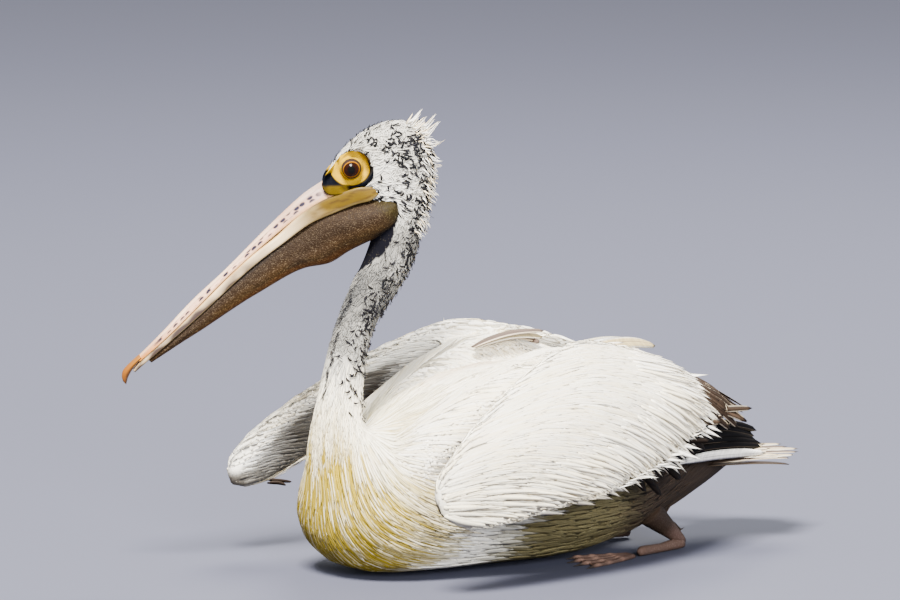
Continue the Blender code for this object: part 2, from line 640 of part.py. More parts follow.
def main():
    """Builds the whole bird."""
    for obj in list(bpy.data.objects):
        bpy.data.objects.remove(obj)
    parts = bpy.data.collections.new("spot_billed_pelican")
    helpers = bpy.data.collections.new("cutters")
    for collection in (parts, helpers):
        bpy.context.scene.collection.children.link(collection)

    body = build_body(parts)
    bill = build_bill(parts)
    head, pouch = body["head"], bill["pouch"]
    for name in ("jaw_left", "jaw_right"):
        combine(bill[name], grown(bill["upper_bill"], helpers), "DIFFERENCE")
    for name in ("upper_bill", "jaw_left", "jaw_right"):
        combine(pouch, grown(bill[name], helpers), "DIFFERENCE")
    for name in ("neck_upper", "neck_middle", "head"):
        combine(pouch, grown(body[name], helpers, 2 * GAP), "DIFFERENCE")
    build_crest(parts, helpers, head)
    whole_head = helper(head, helpers, "whole_head")
    for name in ("upper_bill", "jaw_left", "jaw_right"):
        combine(head, grown(bill[name], helpers), "DIFFERENCE")
    primaries = []
    for word, side in (("left", 1), ("right", -1)):
        eye, orbit = build_eye(side, word, parts, helpers, head)
        combine(orbit, whole_head, "INTERSECT")
        for piece in (orbit, head):
            combine(piece, grown(eye, helpers), "DIFFERENCE")
        for name in ("upper_bill", f"jaw_{word}"):
            combine(orbit, grown(bill[name], helpers), "DIFFERENCE")

        shell = build_wing_shell(side, word, parts)
        arm = build_upper_arm(side, word, parts, helpers, [body["trunk"], body["rump"], body["breast"], *shell])
        fans = {}
        for fan_name, fan in FANS.items():
            if side < 0 and fan_name == "tertials":
                fan = RIGHT_TERTIALS
            finish = "plumage" if fan_name == "tertials" else "flight"
            fans[fan_name] = build_fan(f"wing_{word}_{fan_name}", fan, side, finish, parts)
        for other in (arm, *shell, body["trunk"]):
            combine(fans["tertials"], grown(other, helpers), "DIFFERENCE")
        for fan_name in ("primaries", "secondaries"):
            for other in (arm, *shell, body["rump"]):
                combine(fans[fan_name], grown(other, helpers), "DIFFERENCE")
        combine(fans["secondaries"], grown(fans["primaries"], helpers), "DIFFERENCE")
        primaries.append(fans["primaries"])
        thumb = build_small_feather(side, word, parts)
        combine(thumb, grown(shell[0], helpers), "DIFFERENCE")

        foot, shank, thigh = build_leg(side, word, parts)
        combine(shank, grown(foot, helpers), "DIFFERENCE")
        combine(thigh, grown(shank, helpers), "DIFFERENCE")
        for flesh in (body["trunk"], body["rump"]):
            for limb in (foot, shank):
                combine(flesh, grown(limb, helpers), "DIFFERENCE")
            combine(thigh, grown(flesh, helpers), "DIFFERENCE")
    tail = build_fan("tail", TAIL, 1, "tail", parts, arch=TAIL_ARCH, longer=TAIL_ROUND)
    for other in (body["rump"], *primaries):
        combine(tail, grown(other, helpers), "DIFFERENCE")


if __name__ == "__main__":
    main()
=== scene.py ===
"""Dresses the life-size spot-billed pelican: its skin, plumage, bill, pouch, eyes and feet.

Units are metres and +Z is up. The breast faces -Y and the bird's left side is +X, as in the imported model.
"""

import logging
import math
from collections.abc import Callable
from dataclasses import dataclass, field
from enum import Enum

import bpy
import numpy as np
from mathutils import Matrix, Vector, noise
from mathutils.bvhtree import BVHTree


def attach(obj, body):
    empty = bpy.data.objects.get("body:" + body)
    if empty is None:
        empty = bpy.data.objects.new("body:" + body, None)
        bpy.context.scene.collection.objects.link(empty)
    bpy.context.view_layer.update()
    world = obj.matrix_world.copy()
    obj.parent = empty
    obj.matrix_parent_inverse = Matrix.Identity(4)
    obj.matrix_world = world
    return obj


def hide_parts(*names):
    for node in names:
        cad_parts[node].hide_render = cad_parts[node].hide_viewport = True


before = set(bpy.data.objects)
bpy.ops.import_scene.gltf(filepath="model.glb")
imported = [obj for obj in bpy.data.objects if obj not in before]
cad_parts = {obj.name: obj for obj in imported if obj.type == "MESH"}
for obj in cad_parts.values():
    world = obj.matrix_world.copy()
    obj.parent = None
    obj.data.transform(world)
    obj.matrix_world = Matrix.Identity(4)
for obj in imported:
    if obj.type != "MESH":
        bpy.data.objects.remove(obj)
log = logging.getLogger("pelican")

HEAD_TURN = math.radians(35.0)  # the head is turned to the bird's right
NECK_AXIS = 0.140  # forward distance of the upright line that the head turns about
BAKE_PATCH = 0.003  # width of a tuft's patch on the skin's unwrap
PATCH_ASPECT = 0.42  # half its height, as a share of that width
EASE_ROUNDS = 6  # how often values on the skin are evened out
THICKNESS_SHARE = 0.30  # how much of a thin part the coat's depth may take
FLOOR_REACH = 30.0  # half the floor's width
SKIN_GAP = 0.0012  # how far the skin keeps off the floor, for the coat to fit under it
CAMERA_FRAME = 36.0  # width of the camera's frame, in millimetres

Array = np.ndarray
Colour = tuple[float, float, float]
Spot = tuple[float, float, float]
Table = tuple[tuple[float, ...], ...]

PLAIN_VANE = (0.55, 0.95, 1.0, 0.85, 0.5)  # half widths along a feather, as shares of the widest
POINTED_VANE = (0.5, 0.9, 1.0, 0.8, 0.5, 0.2)
UP = np.array([0.0, 0.0, 1.0])


class Side(Enum):
    """The bird's own sides."""

    LEFT = 1
    RIGHT = -1

    @property
    def word(self) -> str:
        """The side's name, as in the nodes' names."""
        return self.name.lower()


class Region(Enum):
    """Parts of the skin that carry different feathers."""

    HEAD = 0
    UPPER_NECK = 1
    LOWER_NECK = 2
    BREAST = 3
    TRUNK = 4
    RUMP = 5
    THIGH = 6
    ARM = 7
    WING = 8


NODE_REGIONS: dict[str, Region] = {
    "head": Region.HEAD,
    "neck_upper": Region.UPPER_NECK,
    "neck_middle": Region.UPPER_NECK,
    "neck_lower": Region.LOWER_NECK,
    "breast": Region.BREAST,
    "trunk": Region.TRUNK,
    "rump": Region.RUMP,
}
for _side in Side:
    NODE_REGIONS[f"thigh_{_side.word}"] = Region.THIGH
    NODE_REGIONS[f"wing_{_side.word}_arm"] = Region.ARM
    for _piece in ("hand", "forearm", "coverts"):
        NODE_REGIONS[f"wing_{_side.word}_{_piece}"] = Region.WING


def within(regions: Array, *wanted: Region) -> Array:
    """Where region numbers are among those wanted."""
    return np.isin(regions, [region.value for region in wanted])


def plain(colour: Colour, *shape: int) -> Array:
    """One colour at every place of an array of this shape."""
    return np.tile(np.array(colour), (*shape, 1))


def circle(count: int) -> Array:
    """Angles spread evenly round a whole turn."""
    return np.linspace(0, 2 * math.pi, count, endpoint=False)


def unit(vectors: Array) -> Array:
    """Vectors of length one.

    Args:
        vectors: An array whose last axis holds x, y and z.

    Returns:
        The same directions, each of length one.
    """
    return vectors / np.maximum(np.linalg.norm(vectors, axis=-1, keepdims=True), 1e-9)


def smooth_step(values: Array, low: float, high: float) -> Array:
    """A soft ramp.

    Args:
        values: Where it is read.
        low: Where the ramp is 0.
        high: Where the ramp is 1.

    Returns:
        Shares from 0 to 1.
    """
    share = np.clip((np.asarray(values, float) - low) / (high - low), 0.0, 1.0)
    return share * share * (3.0 - 2.0 * share)


def mix(first: Array, second: Array, share: Array) -> Array:
    """Mixes colours or vectors.

    Args:
        first: What shows where share is 0.
        second: What shows where share is 1.
        share: One value for each row.

    Returns:
        The mixed rows.
    """
    share = np.asarray(share, float)[..., None]
    return np.asarray(first, float) * (1.0 - share) + np.asarray(second, float) * share


def head_place(points: Array) -> tuple[Array, Array, Array]:
    """Reads points in the turned head's own directions.

    Args:
        points: World points, one a row.

    Returns:
        How far forward, out to the bird's left and up each one is.
    """
    across, along = points[..., 0], points[..., 1] + NECK_AXIS
    forward = NECK_AXIS - math.sin(HEAD_TURN) * across - math.cos(HEAD_TURN) * along
    out = math.cos(HEAD_TURN) * across - math.sin(HEAD_TURN) * along
    return forward, out, points[..., 2]


def head_point(forward: Array, out: Array, up: Array) -> Array:
    """World points from the turned head's own directions.

    Args:
        forward: Distance ahead of the origin.
        out: Distance to the bird's left.
        up: Height over the floor.

    Returns:
        Points, one a row.
    """
    ahead = np.asarray(forward, float) - NECK_AXIS
    out, up = np.asarray(out, float), np.asarray(up, float)
    x = -math.sin(HEAD_TURN) * ahead + math.cos(HEAD_TURN) * out
    y = -NECK_AXIS - math.cos(HEAD_TURN) * ahead - math.sin(HEAD_TURN) * out
    return np.stack(np.broadcast_arrays(x, y, up), axis=-1)


def head_way(forward: Array | float, out: Array | float, up: Array | float) -> Array:
    """World directions from the turned head's own directions.

    Args:
        forward: Share ahead.
        out: Share to the bird's left.
        up: Share upwards.

    Returns:
        Directions, one a row.
    """
    return head_point(forward, out, up) - head_point(0.0, 0.0, 0.0)


def read_curve(table: Array, places: Array) -> Array:
    """Rows read off a smooth curve through a table's rows.

    Args:
        table: Rows of numbers.
        places: Row numbers, whole or not.

    Returns:
        One row for each place.
    """
    table = np.asarray(table, float)
    places = np.clip(np.asarray(places, float), 0, len(table) - 1)
    start = np.minimum(places.astype(int), len(table) - 2)
    t = (places - start)[:, None]
    p0, p1 = table[np.maximum(start - 1, 0)], table[start]
    p2, p3 = table[start + 1], table[np.minimum(start + 2, len(table) - 1)]
    bend = 2 * p0 - 5 * p1 + 4 * p2 - p3
    twist = 3 * p1 - p0 - 3 * p2 + p3
    return 0.5 * (2 * p1 + (p2 - p0) * t + bend * t**2 + twist * t**3)


def speckle(points: Array, scale: float, seed: float = 0.0) -> Array:
    """Soft noise at points.

    Args:
        points: World points, in an array of any shape whose last axis holds x, y and z.
        scale: Patches a metre.
        seed: Moves the pattern.

    Returns:
        Values from about -1 to 1, in the same shape without its last axis.
    """
    shift = Vector((seed, 2.0 * seed, -seed))
    values = [noise.noise(Vector(p) * scale + shift) for p in points.reshape(-1, 3)]
    return np.array(values).reshape(points.shape[:-1])


def read_rows(data: bpy.types.bpy_prop_collection, key: str, width: int, kind: type = float) -> Array:
    """Reads one property of all of a mesh's vertices, edges, triangles or corners.

    Args:
        data: The mesh's collection.
        key: The property.
        width: How many values each has.
        kind: Whether they are floats or whole numbers.

    Returns:
        The values, one row for each.
    """
    data.foreach_get(key, flat := np.zeros(len(data) * width, kind))
    return flat.reshape(-1, width)


def ring_quads(count: int, size: int, closed: bool = False) -> Array:
    """Quads between rings of points.

    Args:
        count: How many rings.
        size: Points in each.
        closed: Whether the last ring is joined to the first one.

    Returns:
        Four vertex numbers a row.
    """
    i, j = np.meshgrid(np.arange(count if closed else count - 1), np.arange(size), indexing="ij")
    k, n = (j + 1) % size, (i + 1) % count
    return np.stack([i * size + j, i * size + k, n * size + k, n * size + j], axis=-1).reshape(-1, 4)


def new_object(name: str, data: bpy.types.ID) -> bpy.types.Object:
    """A new object in the scene."""
    made = bpy.data.objects.new(name, data)
    bpy.context.scene.collection.objects.link(made)
    return made


def select_only(*pieces: bpy.types.Object) -> None:
    """Selects these pieces and no others, with the first one active."""
    for other in bpy.context.selected_objects:
        other.select_set(False)
    for piece in pieces:
        piece.select_set(True)
    bpy.context.view_layer.objects.active = pieces[0]


def make_mesh(
    name: str,
    points: Array,
    quads: Array,
    triangles: Array | None = None,
    values: dict[str, Array] | None = None,
    unwrap: Array | None = None,
) -> bpy.types.Object:
    """A smooth mesh object from arrays.

    Args:
        name: The object's name.
        points: Vertices, one a row.
        quads: Four vertex numbers a row.
        triangles: Three vertex numbers a row.
        values: Values for each vertex, by name: numbers, vectors or colours.
        unwrap: Each vertex's place on the OFBake map.

    Returns:
        The object, linked to the scene.
    """
    triangles = np.zeros((0, 3), int) if triangles is None else triangles
    corners = np.concatenate([np.ravel(quads), np.ravel(triangles)]).astype(np.int32)
    totals = np.concatenate([np.full(len(quads), 4), np.full(len(triangles), 3)])
    starts = np.concatenate([[0], np.cumsum(totals)[:-1]]).astype(np.int32)
    mesh = bpy.data.meshes.new(name)
    mesh.vertices.add(len(points))
    mesh.vertices.foreach_set("co", np.ravel(points).astype(np.float32))
    mesh.loops.add(len(corners))
    mesh.loops.foreach_set("vertex_index", corners)
    mesh.polygons.add(len(totals))
    mesh.polygons.foreach_set("loop_start", starts)
    mesh.update(calc_edges=True)
    for word, array in (values or {}).items():
        array = np.asarray(array, np.float32)
        kind = "FLOAT" if array.ndim == 1 else {3: "FLOAT_VECTOR", 4: "FLOAT_COLOR"}[array.shape[1]]
        attribute = mesh.attributes.new(word, kind, "POINT")
        key = {"FLOAT": "value", "FLOAT_VECTOR": "vector", "FLOAT_COLOR": "color"}[kind]
        attribute.data.foreach_set(key, np.ravel(array))
    if unwrap is not None:
        layer = mesh.uv_layers.new(name="OFBake")
        layer.data.foreach_set("uv", np.ravel(np.asarray(unwrap)[corners]).astype(np.float32))
    mesh.shade_smooth()
    return new_object(name, mesh)


def with_alpha(colours: Array) -> Array:
    """Colours with a fourth value of 1, one a row."""
    return np.concatenate([colours, np.ones((len(colours), 1))], axis=1)


def settle(piece: bpy.types.Object, slot: str, finish: bpy.types.Material, *nodes: str) -> None:
    """Gives a piece its finish and the nodes that it stands for.

    Args:
        piece: The piece.
        slot: The record's material slot; not used.
        finish: Its material.
        *nodes: CAD nodes that it replaces.
    """
    piece.data.materials.clear()
    piece.data.materials.append(finish)
    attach(piece, "root")
    if nodes:
        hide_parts(*nodes)
    piece.data.calc_loop_triangles()
    log.info("%s: %d triangles", piece.name, len(piece.data.loop_triangles))


# ---------------------------------------------------------------------------------------------------------------
# Finishes
# ---------------------------------------------------------------------------------------------------------------


class Nodes:
    """A short way to lay out a node tree."""

    def __init__(self, tree: bpy.types.NodeTree) -> None:
        """Keeps the tree.

        Args:
            tree: The tree that nodes go in.
        """
        self.tree = tree
        self.column = 0

    def add(self, kind: str, settings: dict[str, object] | None = None, **inputs: object) -> bpy.types.Node:
        """Adds a node.

        Args:
            kind: The node's type name.
            settings: Properties of the node.
            **inputs: Sockets by name, with _ for a space: a value, or an output socket to link.

        Returns:
            The node.
        """
        node = self.tree.nodes.new(kind)
        self.column += 1
        node.location = (self.column * 180 - 1800, -(self.column % 4) * 160)
        for key, value in (settings or {}).items():
            setattr(node, key, value)
        for key, value in inputs.items():
            name = key.replace("_", " ")
            socket = next(s for s in node.inputs if s.name == name and s.enabled)
            self.give(socket, value)
        return node

    def give(self, socket: bpy.types.NodeSocket, value: object) -> None:
        """Sets a socket, or links an output to it.

        Args:
            socket: The input.
            value: A value or an output socket.
        """
        if isinstance(value, bpy.types.NodeSocket):
            self.tree.links.new(value, socket)
        else:
            socket.default_value = value

    def math(self, operation: str, first: object, second: object = 0.0) -> bpy.types.NodeSocket:
        """A Math node.

        Args:
            operation: Its operation.
            first: Its first input.
            second: Its second input.

        Returns:
            Its output.
        """
        node = self.add("ShaderNodeMath", {"operation": operation})
        self.give(node.inputs[0], first)
        self.give(node.inputs[1], second)
        return node.outputs[0]

    def blend(self, first: object, second: object, share: object, kind: str = "MIX") -> bpy.types.NodeSocket:
        """A colour Mix node.

        Args:
            first: The colour at share 0.
            second: The colour at share 1.
            share: How much of the second.
            kind: The way they are blended.

        Returns:
            The mixed colour.
        """
        node = self.add("ShaderNodeMix", {"data_type": "RGBA", "blend_type": kind})
        self.give(node.inputs[0], share)
        for socket, value in ((node.inputs[6], first), (node.inputs[7], second)):
            self.give(socket, (*value, 1.0) if isinstance(value, tuple) and len(value) == 3 else value)
        return node.outputs[2]

    def spread(
        self, value: object, low: float, high: float, to_low: float = 0.0, to_high: float = 1.0
    ) -> bpy.types.NodeSocket:
        """A clamped Map Range node.

        Args:
            value: What is read.
            low: The value that gives to_low.
            high: The value that gives to_high.
            to_low: The result at low.
            to_high: The result at high.

        Returns:
            The mapped value.
        """
        node = self.add("ShaderNodeMapRange", {"clamp": True})
        for socket, number in zip(node.inputs, (value, low, high, to_low, to_high), strict=False):
            self.give(socket, number)
        return node.outputs[0]

    def attribute(self, name: str) -> bpy.types.Node:
        """An Attribute node that reads a mesh's own values.

        Args:
            name: The attribute's name.

        Returns:
            The node.
        """
        return self.add("ShaderNodeAttribute", {"attribute_name": name})


def keep_values(node: bpy.types.Node, values: dict[str, object]) -> None:
    """Sets a node's inputs, by name, to values that stay the same all over."""
    for name, value in values.items():
        node.inputs[name].default_value = value


class Finish:
    """A material in the making: its nodes, its shader and one of the shared groups."""

    def __init__(self, name: str, group: str | None = None) -> None:
        """Makes the material.

        Args:
            name: Its name.
            group: Which of GROUPS it uses, if any.
        """
        self.material = bpy.data.materials.new(name)
        self.material.use_nodes = True
        self.nodes = Nodes(self.material.node_tree)
        self.shader = self.material.node_tree.nodes["Principled BSDF"]
        self.group = self.nodes.add("ShaderNodeGroup", {"node_tree": GROUPS[group]}) if group else None

    def cover(self, colour: bpy.types.NodeSocket, bump: float, depth: float) -> None:
        """Gives the shader its colour, and the group's height as bump.

        Args:
            colour: The colour.
            bump: How strong the bump is.
            depth: How deep it is, in metres.
        """
        self.nodes.give(self.shader.inputs["Base Color"], colour)
        height = self.group.outputs["Height"]
        node = self.nodes.add("ShaderNodeBump", Strength=bump, Distance=depth, Height=height)
        self.nodes.give(self.shader.inputs["Normal"], node.outputs[0])

    def glow(self, share: float, radius: Colour) -> None:
        """Lets light into the surface.

        Args:
            share: How much.
            radius: How far red, green and blue go, in metres.
        """
        if share:
            names = ("Subsurface Weight", "Subsurface Radius", "Subsurface Scale")
            keep_values(self.shader, dict(zip(names, (share, radius, 1.0), strict=True)))


def new_group(
    name: str, inputs: dict[str, tuple[str, object]], outputs: dict[str, str]
) -> tuple[bpy.types.NodeTree, Nodes]:
    """An empty shader node group.

    Args:
        name: Its name.
        inputs: Socket type and starting value, by name.
        outputs: Socket type, by name.

    Returns:
        The group's tree, and the helper that fills it.
    """
    tree = bpy.data.node_groups.new(name, "ShaderNodeTree")
    for word, (kind, value) in inputs.items():
        socket = tree.interface.new_socket(word, in_out="INPUT", socket_type=kind)
        socket.default_value = value
    for word, kind in outputs.items():
        tree.interface.new_socket(word, in_out="OUTPUT", socket_type=kind)
    return tree, Nodes(tree)


def vane_group() -> bpy.types.NodeTree:
    """The barbs of a vane: fine slanting ribs each side of a shaft, with a softer streak along it, and painted shade
    along its edges.

    Returns:
        A group that gives a colour and a height. Its Vane input holds the place across (-1 to 1), the distance
        along in metres, and a number that differs from feather to feather.
    """
    tree, nodes = new_group(
        "Feather barbs",
        {
            "Colour": ("NodeSocketColor", (0.8, 0.8, 0.8, 1.0)),
            "Vane": ("NodeSocketVector", (0.0, 0.0, 0.0)),
            "Barb contrast": ("NodeSocketFloat", 0.25),
            "Margin": ("NodeSocketFloat", 0.0),
            "Shaft colour": ("NodeSocketColor", (0.8, 0.76, 0.68, 1.0)),
            "Shaft width": ("NodeSocketFloat", 0.08),
        },
        {"Colour": "NodeSocketColor", "Height": "NodeSocketFloat"},
    )
    given = nodes.add("NodeGroupInput").outputs
    parts = nodes.add("ShaderNodeSeparateXYZ", Vector=given["Vane"]).outputs
    across = nodes.math("ABSOLUTE", parts[0])
    slant = nodes.math("SUBTRACT", nodes.math("MULTIPLY", parts[1], 900.0), nodes.math("MULTIPLY", across, 5.0))
    place = nodes.add("ShaderNodeCombineXYZ", X=slant, Y=nodes.math("MULTIPLY", parts[2], 60.0)).outputs[0]
    barbs = nodes.add("ShaderNodeTexNoise", {"noise_dimensions": "3D"}, Vector=place, Scale=0.9, Detail=2.0).outputs[0]
    lines = nodes.add(
        "ShaderNodeCombineXYZ",
        X=nodes.math("MULTIPLY", parts[0], 4.0),
        Y=nodes.math("MULTIPLY", parts[1], 18.0),
        Z=nodes.math("MULTIPLY", parts[2], 90.0),
    ).outputs[0]
    streaks = nodes.add("ShaderNodeTexNoise", Vector=lines, Scale=1.0, Detail=3.0).outputs[0]
    both = nodes.math("ADD", nodes.math("MULTIPLY", barbs, 0.5), nodes.math("MULTIPLY", streaks, 0.5))
    shade = nodes.spread(both, 0.35, 0.62)
    loss = nodes.math("MULTIPLY", nodes.math("SUBTRACT", 1.0, shade), given["Barb contrast"])
    dark = nodes.math("SUBTRACT", 1.0, loss)
    grey = nodes.add("ShaderNodeCombineColor", Red=dark, Green=dark, Blue=dark).outputs[0]
    toned = nodes.blend(given["Colour"], grey, 1.0, "MULTIPLY")
    # painted shade: the vane's edges are darkened, standing in for the shade between overlapping feathers
    margin = nodes.math("MULTIPLY", nodes.spread(across, 0.62, 1.0), given["Margin"])
    toned = nodes.blend(toned, (0.50, 0.44, 0.36), margin, "MULTIPLY")
    shaft = nodes.math("LESS_THAN", across, given["Shaft width"])
    coloured = nodes.blend(toned, given["Shaft colour"], nodes.math("MULTIPLY", shaft, 0.7))
    height = nodes.math("ADD", nodes.math("MULTIPLY", both, 0.6), nodes.math("MULTIPLY", shaft, 0.5))
    nodes.add("NodeGroupOutput", Colour=coloured, Height=height)
    return tree


def skin_group() -> bpy.types.NodeTree:
    """Bare leathery skin: fine beads, with wrinkles drawn out along the surface's own length.

    Returns:
        A group that gives a mottle mask and a height. Its Place input is in metres: along, round, and through.
    """
    tree, nodes = new_group(
        "Leathery skin",
        {
            "Place": ("NodeSocketVector", (0.0, 0.0, 0.0)),
            "Beads": ("NodeSocketFloat", 500.0),
            "Stretch": ("NodeSocketFloat", 0.35),
            "Wrinkles": ("NodeSocketFloat", 120.0),
        },
        {"Mottle": "NodeSocketFloat", "Height": "NodeSocketFloat"},
    )
    given = nodes.add("NodeGroupInput").outputs
    parts = nodes.add("ShaderNodeSeparateXYZ", Vector=given["Place"]).outputs
    length = nodes.math("MULTIPLY", parts[0], given["Stretch"])
    drawn = nodes.add("ShaderNodeCombineXYZ", X=length, Y=parts[1], Z=parts[2]).outputs[0]
    beads = nodes.add("ShaderNodeTexVoronoi", {"feature": "F1"}, Vector=drawn, Scale=given["Beads"]).outputs["Distance"]
    creases = nodes.add("ShaderNodeTexNoise", Vector=drawn, Scale=given["Wrinkles"], Detail=6.0, Roughness=0.6)
    wrinkles = creases.outputs[0]
    spots = nodes.math("MULTIPLY", nodes.spread(beads, 0.0, 0.55), 0.5)
    mottle = nodes.math("ADD", spots, nodes.math("MULTIPLY", wrinkles, 0.6))
    height = nodes.math("ADD", nodes.math("MULTIPLY", nodes.spread(beads, 0.5, 0.05), 0.5), wrinkles)
    nodes.add("NodeGroupOutput", Mottle=mottle, Height=height)
    return tree


GROUPS: dict[str, bpy.types.NodeTree] = {"vane": vane_group(), "skin": skin_group()}


@dataclass(frozen=True)
class Plumage:
    """Feathers whose colour is carried by each feather's root."""

    name: str
    contrast: float = 0.25
    roughness: float = 0.72
    bump: float = 0.25
    shaft: Colour = (0.80, 0.77, 0.70)
    shaft_width: float = 0.0
    edged: bool = False
    subsurface: float = 0.0
    # margin: how much painted shade darkens each vane's edges
    margin: float = 0.0
    shine: float = 0.10

    def make(self) -> bpy.types.Material:
        """Builds the material.

        Returns:
            The material.
        """
        made = Finish(self.name, "vane")
        nodes, group = made.nodes, made.group
        colour, vane = nodes.attribute("Tint").outputs["Color"], nodes.attribute("Vane").outputs["Vector"]
        if self.edged:
            across = nodes.math("ABSOLUTE", nodes.add("ShaderNodeSeparateXYZ", Vector=vane).outputs[0])
            colour = nodes.blend(colour, nodes.attribute("Edge").outputs["Color"], nodes.spread(across, 0.66, 0.80))
        nodes.give(group.inputs["Colour"], colour)
        nodes.give(group.inputs["Vane"], vane)
        keep_values(group, {
            "Barb contrast": self.contrast,
            "Margin": self.margin,
            "Shaft colour": (*self.shaft, 1.0),
            "Shaft width": self.shaft_width,
        })
        made.cover(group.outputs["Colour"], self.bump, 0.0006)
        keep_values(made.shader, {"Roughness": self.roughness, "Specular IOR Level": self.shine})
        made.glow(self.subsurface, (0.003, 0.0025, 0.002))
        return made.material


@dataclass(frozen=True)
class Underskin:
    """The skin under the feathers, in the same markings as the coat."""

    name: str = "Skin under feathers"

    def make(self) -> bpy.types.Material:
        """Builds the material.

        Returns:
            The material.
        """
        made = Finish(self.name, "skin")
        nodes, group = made.nodes, made.group
        nodes.give(group.inputs["Place"], nodes.add("ShaderNodeTexCoord").outputs["Object"])
        keep_values(group, {"Beads": 350.0, "Stretch": 1.0})
        tint, mottle = nodes.attribute("Tint").outputs["Color"], group.outputs["Mottle"]
        dull = nodes.blend(tint, (0.74, 0.72, 0.69), nodes.spread(mottle, 0.3, 0.9, 0.0, 0.35), "MULTIPLY")
        bare = nodes.math("LESS_THAN", nodes.add("ShaderNodeSeparateXYZ", Vector=tint).outputs[0], 0.006)
        flecks = nodes.math("MULTIPLY", bare, nodes.spread(mottle, 0.54, 0.36, 0.0, 0.60))
        made.cover(nodes.blend(dull, (0.035, 0.030, 0.018), flecks), 0.5, 0.001)
        keep_values(made.shader, {"Roughness": 0.8, "Specular IOR Level": 0.04})
        return made.material


# ---------------------------------------------------------------------------------------------------------------
# Markings, shared by the skin and the coat
# ---------------------------------------------------------------------------------------------------------------


